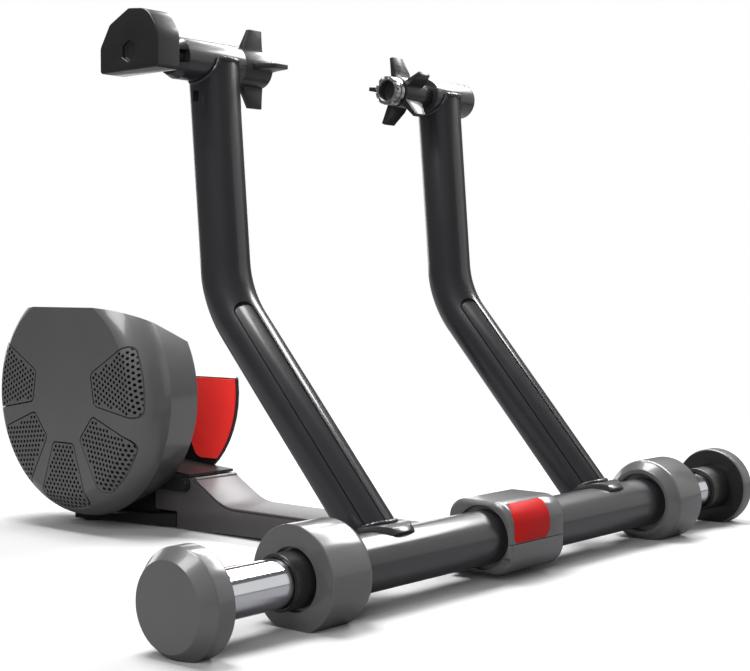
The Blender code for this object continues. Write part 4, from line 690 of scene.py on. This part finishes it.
def build_cup(word, side):
    """A bright ring with teeth round its mouth and a groove behind its crown."""
    face = cup_face(side)
    corners = [
        (8.6, 0, 0), (8.6, 8.8, 0), (0, 8.8, 0.4), (0, CUP_RADIUS, 0.6), (5, CUP_RADIUS, 0.4),
        (5, 11.0, 0.2), (6.4, 11.0, 0.2), (6.4, CUP_RADIUS, 0.4), (10.2, CUP_RADIUS, 0.8), (11, 11.4, 0),
        (11, 0, 0),
    ]
    profile = [(side * (face + x), r) for x, r in rounded(corners, 3, False)]
    cup = turned(f"toothed_cup_{word}", profile, CLAMP_AXIS, 80)
    low, high = sorted((side * (face - 5), side * (face + 2)))
    gap = box_outline(10.2, 18, -CUP_TOOTH_HALF_GAP, CUP_TOOTH_HALF_GAP)
    for k in range(CUP_TEETH):
        cut(cup, cutter(gap, low, high, round_clamp_axis(math.tau * k / CUP_TEETH) @ SIDE_PLANE))
    return soften(cup, 0.25, 2, 50)


def build_cup_lining(word, side):
    """The dark blind bore of a cup."""
    face = cup_face(side)
    corners = [(8.5, 0, 0), (8.5, 8.75, 0), (2.2, 8.75, 0), (2.2, 8.2, 0.2), (8.1, 8.2, 0.4), (8.1, 0, 0)]
    profile = [(side * (face + x), r) for x, r in rounded(corners, 3, False)]
    return turned(f"cup_bore_{word}", profile, CLAMP_AXIS, 64)


def build_lever():
    """The D-shaped turning lever with its slanted shoulder and hexagonal recess."""
    y, z = CLAMP_AXIS
    outline = rounded([
        (y - 31, z - 14, 2.5), (y + 31, z - 14, 2.5), (y + 31, z + 4.5, 6), (y + 20.5, z + 20.4, 5),
        (y, z + 30, 5), (y - 20.5, z + 27.9, 18), (y - 31, z + 12.6, 20),
    ], 10)
    lever = prism("turning_lever", outline, *LEVER_SPAN)
    socket = circle(LEVER_SOCKET_RADIUS, 6, CLAMP_AXIS, math.radians(30))
    cut(lever, cutter(socket, LEVER_SPAN[0] - 2, LEVER_SPAN[0] + 3.5))
    cut(lever, turned("cutter", rod_profile(-205, -190, ROD_BORE), CLAMP_AXIS))
    return soften(lever, 1.3, 4, 40)


# Folding shell and arm


SHELL_HALF = 27
SHELL_BACK = 31
SHELL_END = 35.5
SHELL_END_ROUND = 4
SHELL_RIM = 29.5
SHELL_RIM_BORE = 24
SHELL_BORE = 20.3
SEAM_TOP = -2.7
SEAM_BOTTOM = -3.3

# The inlay's outline on the shell's front, and its skins as insets of the shell
BADGE_SPAN_X = (-31.5, 14)
BADGE_SPAN_Z = (-2.2, 25.4)
BADGE_PROUD = 0.35
BADGE_DEPTH = 1.6
BADGE_CLEARANCE = 0.2

ARM_START = 31.3
ARM_HALF = 25
ARM_WALL = 3
COVER_TOP = -6.8
COVER_BEND = (282, 48)
COVER_END = (318.5, 14.5)
COVER_THICKNESS = 2
LIP_RADIUS = 2.2
PIVOT_HOLE = 4.3

FOOT_PLATE_FRONT = 342.8
FOOT_PLATE_REAR = 456
FOOT_PLATE_BOTTOM = -30
PAD_PLACE = (38, 442)
PAD_ROOM = 9.3
SPINE_HALF = 20


def shell_outline(inset):
    """The shell's side: soft corners towards the front, tighter ones towards the arm."""
    size, back = SHELL_HALF - inset, SHELL_BACK - inset
    front_round = 17 - inset * 0.6
    return rounded([
        (-size, -size, front_round), (back, -size, 6.5), (back, size, 13 - inset * 0.3),
        (-size, size, front_round),
    ], 12)


def build_hinge_shell():
    """Two moulded halves with soft ends, a recess at each end and a seam between them."""
    angles = [math.radians(a) for a in (0, 18, 36, 54, 72, 90)]
    sections = []
    for angle in angles:
        inset = SHELL_END_ROUND * (1 - math.sin(angle))
        sections.append((shell_outline(inset), -SHELL_END + SHELL_END_ROUND * (1 - math.cos(angle))))
    sections += [(outline, -x) for outline, x in reversed(sections)]
    bore = rounded([
        (-40, 0, 0), (-40, SHELL_RIM_BORE, 0), (-SHELL_RIM, SHELL_RIM_BORE, 0), (-SHELL_RIM, SHELL_BORE, 0),
    ], 2, False)
    bore += [(-x, r) for x, r in reversed(bore)]
    for word, low, high in (("upper", SEAM_TOP, FAR), ("lower", -FAR, SEAM_BOTTOM)):
        shell = lofted(f"fold_shell_{word}", sections)
        cut(shell, turned("cutter", bore))
        crop(shell, cutter(box_outline(-FAR, FAR, low, high), -FAR, FAR))
        if word == "upper":
            cut(shell, badge_body("cutter", BADGE_CLEARANCE, -20, 1.9))
        else:
            cut(shell, cutter(box_outline(-37, -33, -17.5, -13), 19.5, 25.3, FRONT_PLANE))
        soften(shell, 0.5, 2, 40)
        dress(shell, "grey_plastic", "arm", f"hinge_shell_{word}")
    badge = soften(badge_body("front_badge", 0, -BADGE_PROUD, BADGE_DEPTH), 0.25, 2)
    dress(badge, "badge_red", "arm", "front_inlay", slot="red_plastic")


def badge_body(name, grow, outer, inner):
    """The inlay that wraps over the shell's upper edge, between two insets of the shell."""
    left, right = BADGE_SPAN_X[0] - grow, BADGE_SPAN_X[1] + grow
    low, high = BADGE_SPAN_Z[0] - grow, BADGE_SPAN_Z[1] + grow
    outline = rounded([
        (left + 3, low, 1), (right - 5, low, 1), (right, low + 5, 1), (right, high, 1), (left + 5, high, 1),
        (left, high - 6, 1), (left, low + 4, 1),
    ], 3)
    body = prism(name, outline, 15, 60, FRONT_PLANE)
    crop(body, cutter(shell_outline(outer), -50, 50))
    return cut(body, cutter(shell_outline(inner), -51, 51))


def cover_path():
    """The cover's top from the side: flat, then swept up to the pivot."""
    bend, bend_radius = COVER_BEND
    corners = [(ARM_START, COVER_TOP, 0), (bend, COVER_TOP, bend_radius), (*COVER_END, 0)]
    return rounded(corners, steps=24, closed=False)


def offset_below(path, distance):
    moved = []
    for i, point in enumerate(path):
        before = path[max(i - 1, 0)]
        after = path[min(i + 1, len(path) - 1)]
        along = (Vector(after) - Vector(before)).normalized()
        moved.append((point[0] + along.y * distance, point[1] - along.x * distance))
    return moved


def arm_side_outline():
    """A cheek of the arm: the long beam, the step over the foot and the lug round the pivot."""
    return rounded([
        (ARM_START, -24.5, 0), (342.5, -31.3, 0), (342.5, -16.5, 0.8), (371, -16.5, 2), (371, 12, 4),
        (337, 15, 4), (325, 15, 3), (312.5, 14.5, 0), (282, -0.8, 0), (ARM_START, -0.8, 0),
    ], 8)


def build_arm():
    """The pressed channel, its top cover and the rolled lip at the cover's upper end."""
    inner = ARM_HALF - ARM_WALL
    channel = prism("arm_beam", arm_side_outline(), -ARM_HALF, -inner)
    far_cheek = prism("cheek", arm_side_outline(), inner, ARM_HALF)
    web = prism("web", box_outline(ARM_START, 300, -16, -13), -inner - 1, inner + 1)
    join(channel, web, far_cheek)
    top = cover_path()
    rim = offset_below(top[-2:], COVER_THICKNESS / 2)[-1]
    room = offset_below(top, COVER_THICKNESS + 0.5)
    room = [(30, room[0][1])] + room + [(rim[0], FAR), (30, FAR)]
    cut(channel, cutter(room, -FAR, FAR))
    cut(channel, turned("cutter", rod_profile(-60, 60, LIP_RADIUS + 0.4), rim, 40))
    cut(channel, turned("cutter", rod_profile(-60, 60, PIVOT_HOLE), PIVOT_AXIS, 48))
    soften(channel, 0.4, 2, 40)
    dress(channel, "arm_paint", "arm", "arm_channel")
    cover = prism("arm_top", top + offset_below(top, COVER_THICKNESS)[::-1], -ARM_HALF, ARM_HALF)
    soften(cover, 0.5, 3, 50)
    dress(cover, "arm_paint", "arm", "arm_cover")
    lip_corners = [
        (-ARM_HALF, 0, 0), (-ARM_HALF, LIP_RADIUS, 0.5), (ARM_HALF, LIP_RADIUS, 0.5), (ARM_HALF, 0, 0),
    ]
    lip = turned("rolled_lip", rounded(lip_corners, 3, False), rim, 32)
    dress(lip, "arm_paint", "arm")


def build_rear_foot():
    """The flared plate behind the arm, thinner towards its end, with a raised spine."""
    plan = rounded([
        (-27, FOOT_PLATE_FRONT, 0.5), (27, FOOT_PLATE_FRONT, 0.5), (52, FOOT_PLATE_REAR, 4),
        (-52, FOOT_PLATE_REAR, 4),
    ], 6)
    plate = prism("rear_plate", plan, FOOT_PLATE_BOTTOM, -18.6, PLAN_PLANE)
    cut(plate, cutter([(340, -18.45), (458, -26.15), (458, -10), (340, -10)], -FAR, FAR))
    pad_x, pad_y = PAD_PLACE
    for side, _ in SIDES:
        pad_room = circle(PAD_ROOM, 48, (side * pad_x, pad_y))
        cut(plate, cutter(pad_room, FOOT_PLATE_BOTTOM - 10, FOOT_PLATE_BOTTOM + 1, PLAN_PLANE))
    soften(plate, 0.9, 3, 40)
    dress(plate, "matt_plastic", "arm", "rear_foot", slot="dark_plastic")
    spine_side = rounded([
        (371.3, -20.4, 0), (450, -25.5, 0), (450, -20, 3), (405, 1, 14), (371.3, 7, 2),
    ], 6)
    spine = prism("rear_spine", spine_side, -SPINE_HALF, SPINE_HALF)
    soften(spine, 0.8, 3, 40)
    dress(spine, "matt_plastic", "arm", slot="dark_plastic")


# Resistance unit


DRUM_FACE = -100
DRUM_MOUTH = -29
DRUM_RADIUS = 108
DRUM_MOUTH_RADIUS = 96.5
DRUM_WALL = 3
ROOF_HEIGHT = 78
ROOF_SLOPE = -0.424

VENT_COUNT = 5
VENT_STEP = math.radians(50)
VENT_HALF_ANGLE = math.radians(19.6)
VENT_INNER = 40.5
VENT_OUTER = 125
VENT_CORNER = 9
VENT_WINDOW_END = -91.5
VENT_SEAM = 1.1
VENT_SEAT_STEP = 0.9

HOLE_RADIUS = 1.4
HOLE_PITCH = 5.1
HOLE_ROW_PITCH = 3.75
HOLE_MARGIN = 3.6
HOLE_ROWS_END = 104
HOLE_SIDES = 10

PANEL_RADIUS = 88.7
PANEL_SPAN = (23, 25)
PANEL_HOLE = 9.8
COVER_MOUTH = 28.6
COVER_FACE = 54.6
COVER_RADIUS = 85
COVER_WALL = 2.5
COVER_CUT_HEIGHT = 13

ROLLER_SPAN = (-21, 17)
ROLLER_RADIUS = 17
ROLLER_BORE = 6.3


def drum_profile(inset):
    """The drum's outline: flat face, soft shoulder and a slight taper towards the wheel."""
    face = DRUM_FACE + inset
    radius = DRUM_RADIUS - inset
    curve = (
        Vector((face, 88 - inset * 0.5)), Vector((face + 3.5, DRUM_MOUTH_RADIUS)), Vector((-87, radius)),
        Vector((-70, radius)),
    )
    steps = 16
    shoulder = []
    for k in range(steps + 1):
        t = k / steps
        shares = ((1 - t) ** 3, 3 * t * (1 - t) ** 2, 3 * t * t * (1 - t), t**3)
        place = sum((point * share for point, share in zip(curve, shares)), Vector((0, 0)))
        shoulder.append(tuple(place))
    return [(face, 0)] + shoulder + [(DRUM_MOUTH, DRUM_MOUTH_RADIUS - inset)]


def roof_cutter(inset):
    """Everything above the drum's sloping roof."""
    left, right = -140, 0
    outline = [(x, ROLLER_Z + ROOF_HEIGHT - inset + ROOF_SLOPE * (x - DRUM_FACE)) for x in (left, right)]
    outline += [(right, ROLLER_Z + FAR), (left, ROLLER_Z + FAR)]
    return cutter(outline, -ROLLER_Y - FAR, -ROLLER_Y + FAR, FRONT_PLANE)


def drum_solid(name, rim=0.0):
    """The hollow drum, open towards the wheel."""
    steps = 144
    outer = turned(name, drum_profile(0) + [(DRUM_MOUTH, 0)], ROLLER_AXIS, steps)
    cut(outer, roof_cutter(0))
    if rim:
        soften(outer, rim, 1, 40)
    inner = drum_profile(DRUM_WALL)
    inner += [(DRUM_MOUTH + 5, inner[-1][1]), (DRUM_MOUTH + 5, 0)]
    cavity = turned("cavity", inner, ROLLER_AXIS, steps)
    cut(cavity, roof_cutter(DRUM_WALL * 1.1))
    return cut(outer, cavity)


def vent_plane(index):
    """Out from the drum's middle, along its rim and along X, for one of the vents."""
    angle = (index - 2) * VENT_STEP
    radial = Vector((0, math.sin(angle), -math.cos(angle)))
    tangent = Vector((0, math.cos(angle), math.sin(angle)))
    return Matrix((
        (0, 0, 1, 0), (radial.y, tangent.y, 0, ROLLER_Y), (radial.z, tangent.z, 0, ROLLER_Z), (0, 0, 0, 1),
    ))


def vent_half_width(radius):
    return radius * math.tan(VENT_HALF_ANGLE)


def vent_outline(inset, pinch=0.0):
    inner = VENT_INNER + inset
    near = vent_half_width(inner) - inset - pinch
    far = vent_half_width(VENT_OUTER) - inset - pinch
    return rounded([(inner, -near, 5), (VENT_OUTER, -far, 0), (VENT_OUTER, far, 0), (inner, near, 5)], 6)


def vent_prism(name, inset, end, plane):
    """The window of one vent, with round corners where it ends on the drum's side."""
    start = end - VENT_CORNER
    sections = [(vent_outline(inset), DRUM_FACE - 12), (vent_outline(inset), start)]
    steps = 8
    for k in range(1, steps + 1):
        angle = math.radians(90 * k / steps)
        pinch = VENT_CORNER * (1 - math.cos(angle)) * 0.97
        sections.append((vent_outline(inset, pinch), start + VENT_CORNER * math.sin(angle)))
    return lofted(name, sections, plane)


def vent_holes(plane):
    """The cutters of one vent's staggered perforation, as one mesh."""
    bm = bmesh.new()
    row = 0
    u = VENT_INNER + HOLE_MARGIN + 0.6
    while u < HOLE_ROWS_END:
        reach = vent_half_width(u) - HOLE_MARGIN
        shift = 0.5 if row % 2 else 0.0
        most = int(reach / HOLE_PITCH) + 1
        for k in range(-most, most + 1):
            v = (k + shift) * HOLE_PITCH
            if abs(v) <= reach:
                add_pin(bm, plane, u, v)
        u += HOLE_ROW_PITCH
        row += 1
    return to_object("cutter", bm)


def add_pin(bm, plane, u, v):
    """The cutter of one hole, through the drum's face."""
    rings = []
    for w in (DRUM_FACE - 10, DRUM_FACE + 30):
        ring = circle(HOLE_RADIUS, HOLE_SIDES, (u, v), 0.13)
        rings.append([bm.verts.new(plane @ Vector((a, b, w))) for a, b in ring])
    for k in range(HOLE_SIDES):
        j = (k + 1) % HOLE_SIDES
        bm.faces.new((rings[0][k], rings[0][j], rings[1][j], rings[1][k]))
    bm.faces.new(rings[0])
    bm.faces.new(rings[1])


def is_painted_shade_wall(face):
    """True for the walls of holes and seams in the drum's face, which run along X and are painted dark as
    shade.
    """
    return abs(face.normal.x) < 0.02 and face.center.x < (VENT_WINDOW_END + 0.1) * MM


def build_drum():
    drum = drum_solid("drum_skin", rim=2.4)
    for k in range(VENT_COUNT):
        cut(drum, vent_prism("cutter", 0, VENT_WINDOW_END, vent_plane(k)))
    dress(drum, "housing_plastic", "unit", "drum_shell", angle=18)
    # The walls of the vent windows take dark plastic: painted shade
    darken_faces(drum, is_painted_shade_wall)
    for k in range(VENT_COUNT):
        plane = vent_plane(k)
        insert = drum_solid(f"vent_{k + 1}")
        crop(insert, vent_prism("cutter", VENT_SEAM, VENT_WINDOW_END - VENT_SEAT_STEP, plane))
        cut(insert, vent_holes(plane))
        dress(insert, "vent_plastic", "unit", f"vent_insert_{k + 1}", angle=18)
        # The walls of the holes and seams take dark plastic: painted shade
        darken_faces(insert, is_painted_shade_wall)


def build_side():
    """The red panel and the cover on the wheel's other side."""
    panel = prism("red_side", circle(PANEL_RADIUS, 160, ROLLER_AXIS), *PANEL_SPAN)
    y, z = ROLLER_AXIS
    band = rounded([
        (y - 74.3, z - 61.5, 14), (y - 38.5, z - 61.5, 11), (y - 29.5, z - 44.7, 11), (y + 89.5, z - 26.8, 0),
        (y + 89.5, z + 12, 0), (y - 89.5, z + 12, 0), (y - 89.5, z - 26.8, 0),
    ], 8)
    crop(panel, cutter(band, 0, 60))
    cut(panel, turned("cutter", rod_profile(0, 60, PANEL_HOLE), ROLLER_AXIS))
    soften(panel, 0.4, 2)
    # The panel's glow and lightened red are painted light against the drum's shade
    dress(panel, "red_plastic", "unit", "side_panel")

    cover = turned("side_cover", side_cover_profile(0, COVER_MOUTH), ROLLER_AXIS, 128)
    cut(cover, side_top_cutter(0))
    soften(cover, 1.2, 3, 50)
    cavity = turned("cavity", side_cover_profile(COVER_WALL, COVER_MOUTH - 4.6), ROLLER_AXIS, 128)
    cut(cavity, side_top_cutter(COVER_WALL))
    cut(cover, cavity)
    dress(cover, "housing_plastic", "unit", "right_cover")


def side_cover_profile(inset, mouth):
    """A shallow dish with a tapered side and a soft edge round its flat face."""
    face = COVER_FACE - inset
    return rounded([
        (mouth, 0, 0), (mouth, COVER_RADIUS - inset, 0.4), (48.6, 68 - inset, 7),
        (face, 58 - inset * 0.5, 3), (face, 0, 0),
    ], 6, False)


def side_top_cutter(inset):
    low = ROLLER_Z + COVER_CUT_HEIGHT - inset
    return cutter(box_outline(ROLLER_Y - FAR, ROLLER_Y + FAR, low, low + FAR), 0, FAR)


def build_roller():
    start, end = ROLLER_SPAN
    corners = [
        (start, ROLLER_BORE, 0.2), (start, ROLLER_RADIUS, 1.6), (end, ROLLER_RADIUS, 1.6),
        (end, ROLLER_BORE, 0.2),
    ]
    dress(turned("roller_skin", rounded(corners, 4), ROLLER_AXIS), "steel", "roller_train", "roller")


# Stage


# What the camera sees of the floor fades to plain white between these distances, in metres
FADE_START = 0.45
FADE_END = 1.3
FLOOR_SHOWN = (0.7, 0.7, 0.7, 1)
FLOOR_REFLECTED = (0.24, 0.24, 0.25, 1)
FLOOR_HALF = 14
WHITE = (1, 1, 1, 1)
STUDIO_STRENGTH = 0.13
UNIT_MIDDLE = (0, 0, 0.15)
OBJECT_MIDDLE = (0, 0.1, 0.1)

CAMERA_PLACE = (-0.9094, -0.8795, 0.2198)
CAMERA_TILT = 87.924
CAMERA_HEADING = -49.673
CAMERA_LENS = 70.92


def ray_share(nodes, links, *kinds):
    """A value that is 1 for the kinds of ray that are named."""
    path = nodes.new("ShaderNodeLightPath")
    value = path.outputs[kinds[0]]
    for kind in kinds[1:]:
        either = nodes.new("ShaderNodeMath")
        either.operation = "MAXIMUM"
        links.new(value, either.inputs[0])
        links.new(path.outputs[kind], either.inputs[1])
        value = either.outputs["Value"]
    return value


def floor_material():
    """Pale and fading to white where it is seen, darker where it lights or is reflected."""
    material = bpy.data.materials.new("floor")
    material.use_nodes = True
    nodes, links = material.node_tree.nodes, material.node_tree.links
    nodes.clear()
    out = nodes.new("ShaderNodeOutputMaterial")
    grey = nodes.new("ShaderNodeBsdfDiffuse")
    grey.inputs["Color"].default_value = FLOOR_REFLECTED
    pale = nodes.new("ShaderNodeBsdfDiffuse")
    pale.inputs["Color"].default_value = FLOOR_SHOWN
    glow = nodes.new("ShaderNodeEmission")
    glow.inputs["Strength"].default_value = 1.0
    place = nodes.new("ShaderNodeNewGeometry")
    length = nodes.new("ShaderNodeVectorMath")
    length.operation = "LENGTH"
    fade = nodes.new("ShaderNodeMapRange")
    fade.inputs["From Min"].default_value = FADE_START
    fade.inputs["From Max"].default_value = FADE_END
    shown = nodes.new("ShaderNodeMixShader")
    mix = nodes.new("ShaderNodeMixShader")
    links.new(place.outputs["Position"], length.inputs[0])
    links.new(length.outputs["Value"], fade.inputs["Value"])
    links.new(fade.outputs["Result"], shown.inputs["Fac"])
    links.new(pale.outputs["BSDF"], shown.inputs[1])
    links.new(glow.outputs["Emission"], shown.inputs[2])
    links.new(ray_share(nodes, links, "Is Camera Ray", "Is Transmission Ray"), mix.inputs["Fac"])
    links.new(grey.outputs["BSDF"], mix.inputs[1])
    links.new(shown.outputs["Shader"], mix.inputs[2])
    links.new(mix.outputs["Shader"], out.inputs["Surface"])
    return material


def build_floor():
    """A pale floor that fades to white away from the object and keeps its shadow."""
    bm = bmesh.new()
    bmesh.ops.create_grid(bm, x_segments=1, y_segments=1, size=FLOOR_HALF)
    mesh = bpy.data.meshes.new("floor")
    bm.to_mesh(mesh)
    bm.free()
    floor = bpy.data.objects.new("floor", mesh)
    bpy.context.scene.collection.objects.link(floor)
    mesh.materials.append(floor_material())


def build_world():
    """White behind the object and a dim studio for its light and reflections."""
    world = bpy.data.worlds.new("studio")
    bpy.context.scene.world = world
    world.use_nodes = True
    nodes, links = world.node_tree.nodes, world.node_tree.links
    nodes.clear()
    out = nodes.new("ShaderNodeOutputWorld")
    mix = nodes.new("ShaderNodeMixShader")
    studio = nodes.new("ShaderNodeBackground")
    studio.inputs["Color"].default_value = WHITE
    studio.inputs["Strength"].default_value = STUDIO_STRENGTH
    white = nodes.new("ShaderNodeBackground")
    white.inputs["Color"].default_value = WHITE
    white.inputs["Strength"].default_value = 1.0
    links.new(ray_share(nodes, links, "Is Camera Ray", "Is Transmission Ray"), mix.inputs["Fac"])
    links.new(studio.outputs["Background"], mix.inputs[1])
    links.new(white.outputs["Background"], mix.inputs[2])
    links.new(mix.outputs["Shader"], out.inputs["Surface"])


def add_light(name, place, target, size, power):
    data = bpy.data.lights.new(name, "AREA")
    data.shape = "RECTANGLE"
    data.size, data.size_y = size
    data.energy = power
    light = bpy.data.objects.new(name, data)
    bpy.context.scene.collection.objects.link(light)
    light.visible_camera = False
    light.location = place
    light.rotation_euler = (Vector(target) - Vector(place)).to_track_quat("-Z", "Y").to_euler()
    return light


def build_lights():
    """Softboxes above and high on the right, a fill on the left and panels that only reflect."""
    add_light("above", (-0.1, 0.35, 2.4), OBJECT_MIDDLE, (1.1, 1.1), 62)
    add_light("high_right", (1.45, 0.1, 1.5), OBJECT_MIDDLE, (1.9, 0.45), 42)
    fill = add_light("left_front", (-1.95, -1.15, 1.1), UNIT_MIDDLE, (2.0, 1.8), 36)
    fill.visible_glossy = False
    panels = (
        ("front_right", (1.7, -1.8, 0.8), (2.4, 1.5), 7), ("back", (1.2, 2.1, 0.55), (2.4, 0.8), 14),
        ("high_left", (-1.35, 0.15, 1.9), (0.9, 1.1), 28),
    )
    for name, place, size, power in panels:
        panel = add_light(name, place, UNIT_MIDDLE, size, power)
        panel.visible_diffuse = False


def build_camera():
    data = bpy.data.cameras.new("camera")
    data.sensor_width = 36
    data.lens = CAMERA_LENS
    camera = bpy.data.objects.new("camera", data)
    bpy.context.scene.collection.objects.link(camera)
    camera.location = CAMERA_PLACE
    camera.rotation_euler = (math.radians(CAMERA_TILT), 0, math.radians(CAMERA_HEADING))
    bpy.context.scene.camera = camera


def main():
    bpy.context.scene.view_settings.view_transform = "Standard"
    build_camera()
    build_world()
    build_lights()
    build_floor()
    dress_cad_nodes()
    build_base()
    build_feet()
    build_uprights()
    build_clamps()
    build_hinge_shell()
    build_arm()
    build_rear_foot()
    build_drum()
    build_side()
    build_roller()


main()
